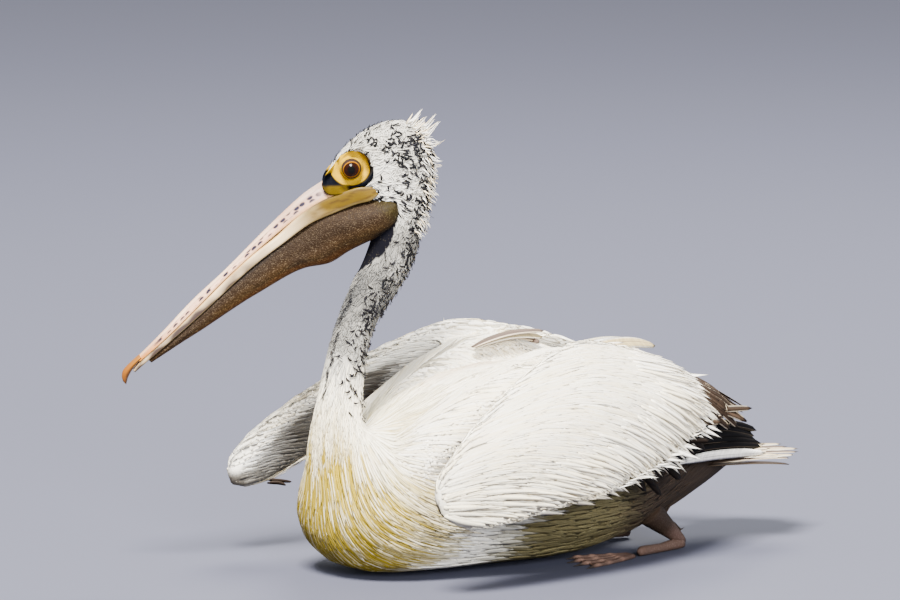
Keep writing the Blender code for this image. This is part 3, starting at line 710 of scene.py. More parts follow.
@dataclass(frozen=True)
class Markings:
    """Colours of the plumage, worked out from a place on the body."""

    white: Colour = (0.855, 0.832, 0.775)
    cream: Colour = (0.84, 0.76, 0.58)
    ochre: Colour = (0.31, 0.22, 0.014)
    grey: Colour = (0.080, 0.079, 0.076)
    speck: Colour = (0.008, 0.008, 0.010)
    # the underwing's own dark brown, darkened further as painted shade
    underwing: Colour = (0.028, 0.021, 0.016)
    # the flanks' own dark brown, darkened further as painted shade under the wing
    flank: Colour = (0.026, 0.018, 0.013)
    olive: Colour = (0.095, 0.080, 0.038)
    pink: Colour = (0.30, 0.105, 0.055)
    throat: Colour = (0.003, 0.003, 0.005)

    def throat_mask(self, points: Array) -> Array:
        """Where the bare blue-black skin of the pouch runs down the front of the neck.

        Args:
            points: World points, one a row.

        Returns:
            1 on the bare skin, else 0.
        """
        forward, _, up = head_place(points)
        rear = np.interp(up, (0.335, 0.3445, 0.3615, 0.375, 0.4035, 0.420), (0.200, 0.190, 0.167, 0.158, 0.151, 0.152))
        return ((forward > rear) & (up > 0.335) & (up < 0.421)).astype(float)

    def base(self, points: Array, normals: Array, regions: Array) -> Array:
        """The plumage's plain colour and painted shade, with no specks.

        Args:
            points: World points, one a row.
            normals: The skin's normals there.
            regions: Region numbers.

        Returns:
            Colours, one a row.
        """
        x, y, z = points[:, 0], points[:, 1], points[:, 2]
        patch = speckle(points, 14.0) * 0.5 + speckle(points, 55.0, 3.0) * 0.35
        colours = plain(self.white, len(points))
        colours = mix(colours, self.cream, np.clip(0.28 + 0.5 * patch, 0, 1))
        front = within(regions, Region.LOWER_NECK, Region.BREAST)
        neck = front | within(regions, Region.UPPER_NECK, Region.HEAD)
        colours = mix(colours, self.cream, 0.8 * front * smooth_step(z, 0.26, 0.19))
        greyness = smooth_step(z, 0.18, 0.27) * (0.90 - 0.38 * smooth_step(z, 0.37, 0.42))
        colours = mix(colours, self.grey, np.clip(greyness + 0.35 * patch, 0, 1) * neck * (z > 0.18))
        streaks = speckle(points * np.array([6.0, 6.0, 0.8]), 22.0, 7.0)
        facing = smooth_step(-normals[:, 1], -0.25, 0.65)
        stain = smooth_step(z, 0.240, 0.080) * facing * np.clip(1.15 - np.abs(x) * 6.0, 0, 1)
        stain = np.clip(stain * (1.35 + 1.2 * streaks), 0, 1) * front
        colours = mix(colours, self.ochre, stain)
        colours = colours * (1 - 0.48 * (smooth_step(z, 0.12, 0.07) * stain)[:, None])
        trunk = within(regions, Region.TRUNK, Region.RUMP, Region.THIGH)
        # The lower sides under the lifted wing, olive in front and dark brown behind: partly the body's own colour,
        # partly painted shade under the wing.
        top = np.interp(y, (-0.08, 0.0, 0.08, 0.15, 0.20, 0.29), (0.070, 0.090, 0.130, 0.155, 0.150, 0.112))
        sides = trunk | within(regions, Region.BREAST) & ((np.abs(x) > 0.05) | (z < 0.055))
        low = smooth_step(z, top + 0.012, top - 0.012) * smooth_step(y, -0.15, -0.06) * sides
        flank_and_shade_colour = mix(self.olive, self.flank, smooth_step(y, 0.02, 0.13))
        colours = colours * (1 - low[:, None]) + flank_and_shade_colour * (1 + 0.5 * patch[:, None]) * low[:, None]
        back = within(regions, Region.TRUNK, Region.ARM, Region.BREAST) * smooth_step(z, 0.185, 0.205)
        fold = np.exp(-(((x + 0.026) / 0.017) ** 2) - ((y + 0.070) / 0.055) ** 2) * back
        colours = mix(colours, self.pink, np.clip(fold * (1.1 + 1.4 * streaks), 0, 0.85))
        wing = within(regions, Region.WING)
        shaded = wing * np.where(x > 0, smooth_step(z, 0.185, 0.105), smooth_step(z, 0.105, 0.082))
        colours = mix(colours, np.array(self.cream) * 0.34, np.clip(0.55 + 0.9 * patch, 0, 0.9) * shaded)
        turned = normals[:, 0] * np.sign(x) * 0.8 + normals[:, 2] * 0.6
        edge = wing * (turned > 0.0) * smooth_step(self.beyond_coverts(points), -0.003, 0.003) * (y > 0.02)
        colours = mix(colours, self.edge_brown(z), edge)
        # The lifted wings' inner faces below the white rim are painted dark brown: partly the underwing's own colour,
        # partly painted shade.
        inner = wing & (turned < -0.05 + 0.55 * smooth_step(y, -0.185, -0.215) * (x < 0))
        dark = inner * smooth_step(self.inner_depth(points), 0.011, 0.024) * smooth_step(y, -0.045, -0.075)
        colours = mix(colours, self.underwing, np.clip(dark * (0.9 + 0.3 * patch), 0, 1))
        colours = mix(colours, self.speck, 0.85 * self.parting(points, normals, 0.075))
        return mix(colours, self.throat, self.throat_mask(points))

    def beyond_coverts(self, points: Array) -> Array:
        """How far points lie past the line where the white coverts end.

        Args:
            points: World points, one a row.

        Returns:
            Metres past the line, negative ahead of it.
        """
        y, z = points[:, 1], points[:, 2]
        below = np.interp(y, (-0.05, 0.03, 0.118, 0.177, 0.224), (0.076, 0.096, 0.113, 0.145, 0.1600)) - z
        behind = y - np.interp(z, (0.120, 0.1585, 0.205, 0.24), (0.240, 0.217, 0.190, 0.178))
        return np.maximum(below * 0.85, behind)

    def edge_brown(self, heights: Array) -> Array:
        """Colours of the folded wing's edge, nearly black below and brown above.

        Args:
            heights: Heights of points.

        Returns:
            Colours, one a row.
        """
        black = plain((0.007, 0.005, 0.004), len(heights))
        return mix(black, (0.034, 0.022, 0.015), smooth_step(heights, 0.145, 0.180))

    def parting(self, points: Array, normals: Array, width: float) -> Array:
        """The dark parting where the down of the neck's two sides meets in front.

        Args:
            points: World points, one a row.
            normals: The skin's normals there.
            width: Half its width, in radians round the neck.

        Returns:
            1 in the parting, else 0.
        """
        z = points[:, 2]
        middle = 0.16 + 0.05 * np.sin(z * 210.0) + 0.03 * np.sin(z * 470.0)
        turn = np.arctan2(normals[:, 0], -normals[:, 1]) - middle
        return ((np.abs(turn) < width) & (z > 0.205) & (z < 0.332)).astype(float)

    def inner_depth(self, points: Array) -> Array:
        """How far below the lifted wing's upper rim a point lies.

        Args:
            points: World points, one a row.

        Returns:
            Heights in metres, positive under the rim.
        """
        x, y, z = points.T
        rim = np.interp(y, (-0.24, -0.215, -0.13, 0.0, 0.10, 0.24), (0.13, 0.160, 0.214, 0.264, 0.247, 0.185))
        droop = np.where(x < 0, 0.017 * np.clip(-y / 0.25, 0, 1), 0.0)
        return rim - droop - z

    def specks(self, points: Array, normals: Array, rng: np.random.Generator) -> Array:
        """Which tufts of the head and neck are black.

        Args:
            points: The tufts' roots.
            normals: The skin's normals there.
            rng: Where chance comes from.

        Returns:
            True for a black tuft.
        """
        forward, _, up = head_place(points)
        behind = smooth_step(-(normals @ head_way(1.0, 0.0, 0.0)), 0.02, 0.62)
        head = smooth_step(up, 0.395, 0.43) * (1 - 0.75 * smooth_step(up, 0.497, 0.506))
        crown = head * (0.80 - 0.55 * smooth_step(forward, 0.175, 0.20) + 0.45 * smooth_step(forward, 0.15, 0.12))
        cheek = smooth_step(np.hypot(forward - 0.172, up - 0.452), 0.036, 0.014)
        neck = smooth_step(up, 0.43, 0.395) * smooth_step(up, 0.150, 0.31) * (0.012 + 0.95 * behind)
        clump = speckle(points, 120.0, 11.0) + 0.7 * speckle(points, 55.0, 17.0)
        chance = (crown * (1 - 0.9 * cheek) + neck) * np.clip(1.0 + 2.4 * clump, 0, 2.6)
        return rng.random(len(points)) < chance


# ---------------------------------------------------------------------------------------------------------------
# The skin, and what grows on it
# ---------------------------------------------------------------------------------------------------------------


@dataclass
class Roots:
    """Places on the skin where feathers grow."""

    points: Array
    normals: Array
    faces: Array
    unwrap: Array

    def keep(self, mask: Array) -> "Roots":
        """The roots that a mask picks.

        Args:
            mask: True for each root that stays.

        Returns:
            Fewer roots.
        """
        return Roots(self.points[mask], self.normals[mask], self.faces[mask], self.unwrap[mask])


@dataclass
class Skin:
    """One skin over all the flesh, drawn in by the coat's depth."""

    markings: Markings
    voxel: float = 0.0034
    swell: float = 0.0008
    body: bpy.types.Object | None = None
    depths: dict[Region, float] = field(
        default_factory=lambda: {
            Region.HEAD: 0.0030,
            Region.UPPER_NECK: 0.0032,
            Region.LOWER_NECK: 0.0032,
            Region.BREAST: 0.0042,
            Region.TRUNK: 0.0042,
            Region.RUMP: 0.0036,
            Region.THIGH: 0.0020,
            Region.ARM: 0.0040,
            Region.WING: 0.0022,
        }
    )

    def build(self) -> bpy.types.Object:
        """Makes the skin and all that the coat reads from it.

        Returns:
            The skin's object.
        """
        points, faces, labels = self.flesh()
        guide = BVHTree.FromPolygons(points.tolist(), faces.tolist())
        body = self.remesh(points + self.vertex_normals(points, faces) * self.swell, faces)
        mesh = body.data
        places, normals = read_rows(mesh.vertices, "co", 3), read_rows(mesh.vertices, "normal", 3)
        nearest = np.array([guide.find_nearest(p)[2] for p in places])
        regions = labels[nearest]
        depths = np.array([self.depths[Region(r)] for r in range(len(Region))])[regions]
        places = places - normals * self.ease(mesh, self.safe(places, normals, depths))[:, None]
        places[:, 2] = np.maximum(places[:, 2], SKIN_GAP)
        mesh.vertices.foreach_set("co", places.ravel())
        mesh.update()
        normals = read_rows(mesh.vertices, "normal", 3)
        self.unwrap(body)
        self.learn(mesh, places, normals, regions)
        tint = mesh.attributes.new("Tint", "FLOAT_COLOR", "POINT")
        colours = self.markings.base(places, normals, regions)
        dark = within(regions, Region.HEAD, Region.UPPER_NECK) & (self.markings.throat_mask(places) < 0.5)
        dark &= self.markings.specks(places, normals, np.random.default_rng(5))
        colours[dark] = self.markings.speck
        tint.data.foreach_set("color", with_alpha(colours).astype(np.float32).ravel())
        settle(body, "plumage", Underskin().make(), *NODE_REGIONS)
        self.body = body
        return body

    def flesh(self) -> tuple[Array, Array, Array]:
        """All flesh nodes' meshes together.

        Returns:
            Vertices, triangles, and each triangle's region number.
        """
        points, faces, labels, start = [], [], [], 0
        for name, region in NODE_REGIONS.items():
            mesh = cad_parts[name].data
            mesh.calc_loop_triangles()
            own, triangles = read_rows(mesh.vertices, "co", 3), read_rows(mesh.loop_triangles, "vertices", 3, int)
            own, index = np.unique(own.round(7), axis=0, return_inverse=True)
            points.append(own)
            faces.append(index.ravel()[triangles] + start)
            labels.append(np.full(len(triangles), region.value))
            start += len(own)
        return np.concatenate(points), np.concatenate(faces), np.concatenate(labels)

    def vertex_normals(self, points: Array, faces: Array) -> Array:
        """Smooth normals.

        Args:
            points: Vertices.
            faces: Triangles.

        Returns:
            One normal for each vertex.
        """
        a, b, c = points[faces[:, 0]], points[faces[:, 1]], points[faces[:, 2]]
        across = np.cross(b - a, c - a)
        total = np.zeros_like(points)
        for k in range(3):
            np.add.at(total, faces[:, k], across)
        return unit(total)

    def remesh(self, points: Array, faces: Array) -> bpy.types.Object:
        """One even, smooth surface round many solids.

        Args:
            points: Vertices.
            faces: Triangles.

        Returns:
            A new object.
        """
        rough = make_mesh("rough_skin", points, np.zeros((0, 4), int), faces)
        remesh = rough.modifiers.new("remesh", "REMESH")
        remesh.mode = "VOXEL"
        remesh.voxel_size = self.voxel
        relax = rough.modifiers.new("relax", "SMOOTH")
        relax.factor, relax.iterations = 0.5, 14
        graph = bpy.context.evaluated_depsgraph_get()
        mesh = bpy.data.meshes.new_from_object(rough.evaluated_get(graph))
        bpy.data.objects.remove(rough)
        mesh.name = "skin"
        mesh.shade_smooth()
        return new_object("skin", mesh)

    def safe(self, places: Array, normals: Array, depths: Array) -> Array:
        """Depths that don't push a thin part through itself.

        Args:
            places: The skin's vertices.
            normals: Their normals.
            depths: The coat's depth at each.

        Returns:
            Depths up to a third of the thickness there.
        """
        outer = BVHTree.FromPolygons(places.tolist(), self.polygons)
        result = depths.copy()
        for i, (p, n) in enumerate(zip(places, normals, strict=True)):
            hit = outer.ray_cast(Vector(p - n * 0.0002), Vector(-n), 0.02)
            if hit[0] is not None:
                result[i] = min(result[i], THICKNESS_SHARE * hit[3])
        return result

    def ease(self, mesh: bpy.types.Mesh, values: Array) -> Array:
        """Evens out values over neighbouring vertices.

        Args:
            mesh: The skin's mesh.
            values: One value for each vertex, or one row.

        Returns:
            Smoother values.
        """
        edges = read_rows(mesh.edges, "vertices", 2, int)
        shape = (len(mesh.vertices),) + values.shape[1:]
        counts = np.bincount(edges.ravel(), minlength=len(mesh.vertices)).reshape((-1,) + (1,) * (values.ndim - 1))
        for _ in range(EASE_ROUNDS):
            total = np.zeros(shape)
            np.add.at(total, edges[:, 0], values[edges[:, 1]])
            np.add.at(total, edges[:, 1], values[edges[:, 0]])
            values = 0.5 * values + 0.5 * total / np.maximum(counts, 1)
        return values

    @property
    def polygons(self) -> list[list[int]]:
        """The skin's faces, as lists of vertex numbers."""
        return [list(p.vertices) for p in bpy.data.meshes["skin"].polygons]

    def unwrap(self, body: bpy.types.Object) -> None:
        """Unwraps the skin into the OFBake map.

        Args:
            body: The skin.
        """
        body.data.uv_layers.new(name="OFBake")
        select_only(body)
        bpy.ops.object.mode_set(mode="EDIT")
        bpy.ops.mesh.select_all(action="SELECT")
        bpy.ops.uv.smart_project(angle_limit=math.radians(66), island_margin=0.002)
        bpy.ops.object.mode_set(mode="OBJECT")

    def learn(self, mesh: bpy.types.Mesh, places: Array, normals: Array, regions: Array) -> None:
        """Keeps what the coat reads: triangles, normals, the lie of the feathers, and the unwrap.

        Args:
            mesh: The skin's mesh.
            places: Its vertices.
            normals: Their normals.
            regions: Their region numbers.
        """
        mesh.calc_loop_triangles()
        self.triangles = read_rows(mesh.loop_triangles, "vertices", 3, int)
        loops = read_rows(mesh.loop_triangles, "loops", 3, int)
        self.corner_unwrap = read_rows(mesh.uv_layers["OFBake"].data, "uv", 2)[loops]
        self.places = places
        flow = self.ease(mesh, self.lie(places, normals, regions))
        flow = unit(flow - normals * (flow * normals).sum(axis=1, keepdims=True))
        corners = places[self.triangles]
        self.centres = corners.mean(axis=1)
        across = np.cross(corners[:, 1] - corners[:, 0], corners[:, 2] - corners[:, 0])
        self.areas = np.linalg.norm(across, axis=1) / 2
        self.face_normals = unit(normals[self.triangles].mean(axis=1))
        self.face_flow = unit(flow[self.triangles].mean(axis=1))
        self.face_regions = regions[self.triangles[:, 0]]
        self.tree = BVHTree.FromPolygons(places.tolist(), self.triangles.tolist())

    def lie(self, places: Array, normals: Array, regions: Array) -> Array:
        """Which way feathers point, before that is laid along the skin.

        Args:
            places: The skin's vertices.
            normals: Their normals.
            regions: Their region numbers.

        Returns:
            One direction for each vertex.
        """
        x, y, z = places.T
        count, side = len(places), np.sign(x)
        flow = plain((0.0, 1.0, -0.12), count)
        forward, out, up = head_place(places)
        away = unit(np.stack([forward - 0.245, out * 0.6, up - 0.440], axis=1))
        turn = smooth_step(forward, 0.165, 0.115)
        drop = np.stack([np.full(count, -0.35), out * 4.0, np.full(count, -1.0)], axis=1)
        head = head_way(*mix(away, unit(drop), turn).T)
        down = np.interp(up, (0.17, 0.22, 0.29, 0.35, 0.41), (0.12, 0.22, 0.5, 0.42, 0.15))
        bend = smooth_step(up, 0.22, 0.34)
        ahead = mix(np.array([0.0, -1.0, 0.0]), head_way(1.0, 0.0, 0.0), bend)
        neck = ahead * down[:, None] + np.array([0.0, 0.0, -1.0])
        root = np.array([0.0, -0.225, 0.215])
        fan = unit(places - root) * np.array([1.35, 1.0, 1.0])
        fan[:, 1] += smooth_step(z, 0.12, 0.03) * 1.2 + smooth_step(np.abs(x), 0.05, 0.11) * 0.9
        fan[:, 1] += smooth_step(y, -0.20, -0.14) * 1.5
        depth = self.markings.inner_depth(places)
        slope = np.interp(y, (-0.24, -0.18, -0.12, -0.06, 0.0, 0.07, 0.12, 0.20),
                          (0.05, 0.12, 0.20, 0.28, 0.38, 0.55, 0.64, 0.50))
        slope = slope + 0.25 * smooth_step(depth, 0.09, 0.14) * smooth_step(y, -0.05, 0.05)
        rim = np.interp(y, (-0.24, -0.13, 0.0, 0.05, 0.10, 0.15, 0.20, 0.24),
                        (-0.10, -0.05, 0.05, 0.10, 0.24, 0.36, 0.47, 0.53))
        share = smooth_step(depth, 0.07, 0.01)
        wing = np.stack([-0.20 * side, np.ones(count), -(slope * (1 - share) + rim * share)], axis=1)
        arm = np.stack([0.30 * side, np.ones(count), np.full(count, -0.25)], axis=1)
        inwards = (side * normals[:, 0] < -0.10) & (side < 0)
        arm = np.where(inwards[:, None], np.array([0.75, 0.60, -0.45]), arm)
        for region, way in (
            (Region.HEAD, head),
            (Region.UPPER_NECK, neck),
            (Region.LOWER_NECK, neck),
            (Region.BREAST, fan),
            (Region.WING, wing),
            (Region.ARM, arm),
            (Region.THIGH, np.array([-0.05, 0.80, -0.55])),
        ):
            flow = np.where(within(regions, region)[:, None], way, flow)
        under = within(regions, Region.RUMP) & (z < 0.12)
        return unit(np.where(under[:, None], np.array([0.0, 1.0, 0.25]), flow))

    def roots(self, mask: Array, spacing: float, seed: int) -> Roots:
        """Spreads feather roots evenly over part of the skin.

        Args:
            mask: True for each triangle that takes them.
            spacing: Least distance between two roots.
            seed: Where chance starts.

        Returns:
            The roots.
        """
        rng = np.random.default_rng(seed)
        faces = np.nonzero(mask)[0]
        areas = self.areas[faces]
        count = int(areas.sum() / spacing**2 * 2.4) + 1
        picked = faces[rng.choice(len(faces), count, p=areas / areas.sum())]
        u, v = rng.random(count), rng.random(count)
        fold = u + v > 1
        u, v = np.where(fold, 1 - u, u), np.where(fold, 1 - v, v)
        weights = np.stack([1 - u - v, u, v], axis=1)[..., None]
        points = (self.places[self.triangles[picked]] * weights).sum(axis=1)
        cells: dict[tuple[int, int, int], list[int]] = {}
        kept = []
        keys = np.floor(points / spacing).astype(int)
        nearby = [(a, b, c) for a in (-1, 0, 1) for b in (-1, 0, 1) for c in (-1, 0, 1)]
        limit = (0.86 * spacing) ** 2
        rows, places = keys.tolist(), points.tolist()
        for i, (a, b, c) in enumerate(rows):
            px, py, pz = places[i]
            close = False
            for da, db, dc in nearby:
                for j in cells.get((a + da, b + db, c + dc), ()):
                    qx, qy, qz = places[j]
                    if (px - qx) ** 2 + (py - qy) ** 2 + (pz - qz) ** 2 < limit:
                        close = True
                        break
                if close:
                    break
            if not close:
                cells.setdefault((a, b, c), []).append(i)
                kept.append(i)
        picked, weights = picked[kept], weights[kept]
        unwrap = (self.corner_unwrap[picked] * weights).sum(axis=1)
        return Roots(points[kept], self.face_normals[picked], picked, unwrap)


class Cut(Enum):
    """Cross-sections of a tuft or vane, as (across, up) in shares of its half width and of its thickness."""

    TUFT = ((-1.0, 0.0), (0.0, 1.0), (1.0, 0.0))
    VANE = ((-1.0, -0.5), (0.0, 1.0), (1.0, -0.5), (0.0, 0.0))
    BROAD = ((-1.0, -0.8), (-0.5, 0.4), (0.0, 1.0), (0.5, 0.4), (1.0, -0.8), (0.0, 0.1))


@dataclass
class Feathers:
    """A joined mesh of many feathers of one kind."""

    name: str
    cut: Cut = Cut.VANE
    profile: tuple[float, ...] = PLAIN_VANE
    parts: list[dict[str, Array]] = field(default_factory=list)

    def add(
        self,
        paths: Array,
        ups: Array,
        widths: Array,
        thickness: Array | float,
        tints: Array,
        unwrap: Array,
        lift: Array | float = 0.0,
        lift_power: float = 1.6,
        seed: int = 1,
        profile: tuple[float, ...] | None = None,
        edges: Array | None = None,
    ) -> None:
        """Adds feathers along paths.

        Args:
            paths: Points along each, (feathers, rings + 1, 3), the last of which is the tip.
            ups: The directions away from the skin there.
            widths: Each feather's half width.
            thickness: Each feather's thickness.
            tints: Each feather's colour.
            unwrap: Each root's place on the skin's unwrap.
            lift: How far each tip stands off the skin.
            lift_power: How late the feather leaves the skin.
            seed: Where chance starts.
            profile: Half widths along each, as shares of the widest, if not the mesh's own.
            edges: Colours of the vanes' margins, if they have their own.
        """
        count, rings = paths.shape[0], paths.shape[1] - 1
        share = np.arange(rings + 1) / rings
        lift = np.broadcast_to(np.asarray(lift, float), (count,))
        thickness = np.broadcast_to(np.asarray(thickness, float), (count,))
        centres = paths + ups * (lift[:, None] * share[None, :] ** lift_power)[..., None]
        ways = unit(np.gradient(centres, axis=1))
        sides = unit(np.cross(ways, ups))
        outward = unit(np.cross(sides, ways))
        profile = self.profile if profile is None else profile
        profile = np.interp(share[:-1], np.linspace(0, 1 - 1 / rings, len(profile)), profile)
        corners = np.array(self.cut.value)
        half = widths[:, None] * profile[None, :]
        thick = thickness[:, None] * (0.35 + 0.65 * profile[None, :])
        ring = (
            centres[:, :-1, None, :]
            + sides[:, :-1, None, :] * (half[..., None] * corners[:, 0])[..., None]
            + outward[:, :-1, None, :] * (thick[..., None] * corners[:, 1])[..., None]
        )
        size = len(corners)
        points = np.concatenate([ring.reshape(count, rings * size, 3), centres[:, -1:, :]], axis=1)
        lengths = np.linalg.norm(np.diff(centres, axis=1), axis=2).sum(axis=1)
        chance = np.random.default_rng(seed).random(count)
        along = np.append(np.repeat(share[:-1], size), 1.0)
        vane = np.zeros((count, rings * size + 1, 3))
        vane[:, :-1, 0] = np.tile(corners[:, 0], rings)
        vane[:, :, 1] = lengths[:, None] * along
        vane[:, :, 2] = chance[:, None]
        patch = np.zeros((count, rings * size + 1, 2))
        patch[:, :, 0] = PATCH_ASPECT * vane[:, :, 0]
        patch[:, :, 1] = along - 0.5
        part = {"points": points, "vane": vane, "unwrap": unwrap[:, None, :] + BAKE_PATCH * patch}
        for key, colours in (("tint", tints), ("edge", edges)):
            if colours is not None:
                part[key] = np.repeat(colours[:, None, :], rings * size + 1, axis=1)
        self.parts.append(part)

    def build(self) -> bpy.types.Object:
        """Joins all that was added into one mesh.

        Returns:
            The object.
        """
        size, quads, triangles, start = len(self.cut.value), [], [], 0
        for part in self.parts:
            count, per = part["points"].shape[:2]
            rings = (per - 1) // size
            own_quads, own_triangles = self.faces(rings, size)
            shift = start + per * np.arange(count)
            quads.append((own_quads[None] + shift[:, None, None]).reshape(-1, 4))
            triangles.append((own_triangles[None] + shift[:, None, None]).reshape(-1, 3))
            start += count * per

        def gather(key: str, width: int) -> Array:
            """All parts' values of one kind, one row a vertex."""
            return np.concatenate([part[key].reshape(-1, width) for part in self.parts])

        values = {"Tint": with_alpha(gather("tint", 3)), "Vane": gather("vane", 3)}
        if "edge" in self.parts[0]:
            values["Edge"] = with_alpha(gather("edge", 3))
        return make_mesh(self.name, gather("points", 3), np.concatenate(quads), np.concatenate(triangles), values,
                         gather("unwrap", 2))

    def faces(self, rings: int, size: int) -> tuple[Array, Array]:
        """Faces of one feather.

        Args:
            rings: Cross-sections, not counting the tip.
            size: Corners in each.

        Returns:
            Quads, then triangles.
        """
        tip, last = rings * size, (rings - 1) * size
        triangles = [(last + j, last + (j + 1) % size, tip) for j in range(size)]
        triangles += [(0, j + 1, j) for j in range(1, size - 1)]
        return ring_quads(rings, size), np.array(triangles, int)


@dataclass(frozen=True)
class Patch:
    """One kind of feather, and the part of the skin that it covers."""

    name: str
    slot: str
    spacing: float
    length: float
    half_width: float
    thickness: float
    lift: float
    rings: int
    cut: Cut
    spread: float = 0.08
    curl: float = 0.0
    vary: float = 0.15
    shade: float = 0.06
    profile: tuple[float, ...] = PLAIN_VANE
    finish: str = "white"
    seed: int = 1
    rise: float = 0.0
    obey: float = 0.3
    edge: float = 0.0


@dataclass
class Coat:
    """The small feathers that cover the skin."""

    skin: Skin
    markings: Markings
    finishes: dict[str, bpy.types.Material]
    steer: Callable[[Roots, Array, Array, Array], tuple[Array, Array]]

    def grow(
        self,
        patch: Patch,
        mask: Array,
        tint: Callable[[Array, Roots], Array] | None = None,
        choose: Callable[[Roots], Array] | None = None,
        stand: Callable[[Roots], Array] | None = None,
    ) -> bpy.types.Object:
        """Covers part of the skin.

        Args:
            patch: The kind of feather.
            mask: True for each triangle of the skin that takes it.
            tint: Changes the feathers' colours, if given.
            choose: Picks some of the places, if given.
            stand: How far tips stand off at each place, as a share, if given.

        Returns:
            The joined feathers.
        """
        skin, rng = self.skin, np.random.default_rng(patch.seed)
        roots = skin.roots(mask, patch.spacing, patch.seed)
        if choose is not None:
            roots = roots.keep(choose(roots))
        count = len(roots.points)
        vary = 1 + patch.vary * rng.standard_normal(count).clip(-2, 2)
        lengths = patch.length * vary
        aim = patch.spread * rng.standard_normal(count)
        curl = patch.curl * rng.uniform(-1, 1, count)
        aim, curl = self.steer(roots, aim, curl, lengths)
        paths, ups = self.lay(roots, lengths / patch.rings, patch.rings, aim, curl / patch.rings, patch.obey)
        regions = skin.face_regions[roots.faces]
        colours = self.markings.base(roots.points, roots.normals, regions)
        colours = colours * (1 + patch.shade * rng.standard_normal(count).clip(-2, 2))[:, None]
        if tint is not None:
            colours = tint(colours, roots)
        feathers = Feathers(patch.name, patch.cut, patch.profile)
        lift = patch.lift * (0.6 + 0.8 * rng.random(count))
        if stand is not None:
            lift = lift * stand(roots)
        paths = paths + ups * patch.rise
        edges = mix(colours, (0.62, 0.52, 0.38), smooth_step(roots.points[:, 2], 0.150, 0.175)) if patch.edge else None
        feathers.add(paths, ups, patch.half_width * vary**0.5, patch.thickness, colours.clip(0.002, 0.95), roots.unwrap,
                     lift, seed=patch.seed, edges=edges)
        made = feathers.build()
        settle(made, patch.slot, self.finishes[patch.finish])
        return made

    def lay(self, roots: Roots, steps: Array, rings: int, aim: Array, turns: Array, obey: float) -> tuple[Array, Array]:
        """Lays feathers along the skin, each a little off the common lie.

        Args:
            roots: Where they start.
            steps: Length of one step of each.
            rings: How many steps.
            aim: The angle that each starts off the lie by.
            turns: The angle that each turns by at each step.
            obey: How strongly each keeps to the common lie.

        Returns:
            Points and normals along each feather.
        """
        skin = self.skin
        lie = skin.face_flow[roots.faces]
        way = unit(lie * np.cos(aim)[:, None] + np.cross(roots.normals, lie) * np.sin(aim)[:, None])
        place, normal, face = roots.points.copy(), roots.normals.copy(), roots.faces.copy()
        places, normals = [place.copy()], [normal.copy()]
        for _ in range(rings):
            side = np.cross(normal, way)
            way = unit(way * np.cos(turns)[:, None] + side * np.sin(turns)[:, None])
            ahead = place + way * steps[:, None]
            new_place, new_normal = ahead.copy(), normal.copy()
            for i, point in enumerate(ahead.tolist()):
                spot, _, index, gap = skin.tree.find_nearest(point)
                if gap < 0.7 * steps[i] and skin.face_normals[index] @ normal[i] > 0.5:
                    new_place[i], new_normal[i], face[i] = spot, skin.face_normals[index], index
            way = unit(new_place - place) * (1 - obey) + skin.face_flow[face] * obey
            place, normal = new_place, new_normal
            way = unit(way - normal * (way * normal).sum(axis=1, keepdims=True))
            places.append(place.copy())
            normals.append(normal.copy())
        return np.stack(places, axis=1), np.stack(normals, axis=1)


# ---------------------------------------------------------------------------------------------------------------
# Bill, pouch and face
# ---------------------------------------------------------------------------------------------------------------


@dataclass(frozen=True)
class BareFinish:
    """Horn or bare skin: a tint that varies over the surface, with streaks, beads and dark spots."""

    name: str
    roughness: float = 0.42
    coat: float = 0.0
    shine: float = 0.22
    beads: float = 420.0
    stretch: float = 0.2
    wrinkles: float = 110.0
    mottle: float = 0.35
    dark: Colour = (0.30, 0.24, 0.20)
    bump: float = 0.25
    depth: float = 0.0005
    spots: float = 0.0
    spot_colour: Colour = (0.010, 0.009, 0.018)
    spot_rows: float = 105.0
    subsurface: float = 0.0
    fleck: Colour = (0.30, 0.23, 0.10)
    fleck_share: float = 0.0

    def make(self) -> bpy.types.Material:
        """Builds the material.

        Returns:
            The material.
        """
        made = Finish(self.name, "skin")
        nodes, group = made.nodes, made.group
        place = nodes.attribute("Place").outputs["Vector"]
        nodes.give(group.inputs["Place"], place)
        keep_values(group, {"Beads": self.beads, "Stretch": self.stretch, "Wrinkles": self.wrinkles})
        mottle = group.outputs["Mottle"]
        share = nodes.spread(mottle, 0.38, 0.72, 0.0, self.mottle)
        colour = nodes.blend(nodes.attribute("Tint").outputs["Color"], self.dark, share, "MULTIPLY")
        if self.fleck_share:
            colour = nodes.blend(colour, self.fleck, nodes.spread(mottle, 0.50, 0.34, 0.0, self.fleck_share))
        if self.spots:
            colour = nodes.blend(colour, self.spot_colour, self.spot_mask(nodes, place))
        made.cover(colour, self.bump, self.depth)
        rough = nodes.spread(mottle, 0.3, 0.9, self.roughness - 0.07, self.roughness + 0.12)
        nodes.give(made.shader.inputs["Roughness"], rough)
        keep_values(made.shader, {
            "Specular IOR Level": self.shine,
            "Coat Weight": self.coat,
            "Coat Roughness": 0.25,
        })
        made.glow(self.subsurface, (0.004, 0.002, 0.001))
        return made.material

    def spot_mask(self, nodes: Nodes, place: bpy.types.NodeSocket) -> bpy.types.NodeSocket:
        """Dark spots in loose rows, where the surface is marked as spotted.

        Args:
            nodes: The material's nodes.
            place: Metres along and round the piece.

        Returns:
            1 in a spot, else 0.
        """
        parts = nodes.add("ShaderNodeSeparateXYZ", Vector=place).outputs
        rows, columns = (nodes.math("MULTIPLY", parts[k], (1.0, 1.25)[k] * self.spot_rows) for k in (0, 1))
        cells = nodes.add("ShaderNodeCombineXYZ", X=rows, Y=columns).outputs[0]
        found = nodes.add("ShaderNodeTexVoronoi", {"voronoi_dimensions": "2D"}, Vector=cells, Scale=1.0,
                          Randomness=0.62).outputs["Distance"]
        inside = nodes.spread(found, self.spots, self.spots * 0.62)
        return nodes.math("MULTIPLY", inside, nodes.attribute("Spotted").outputs["Fac"])


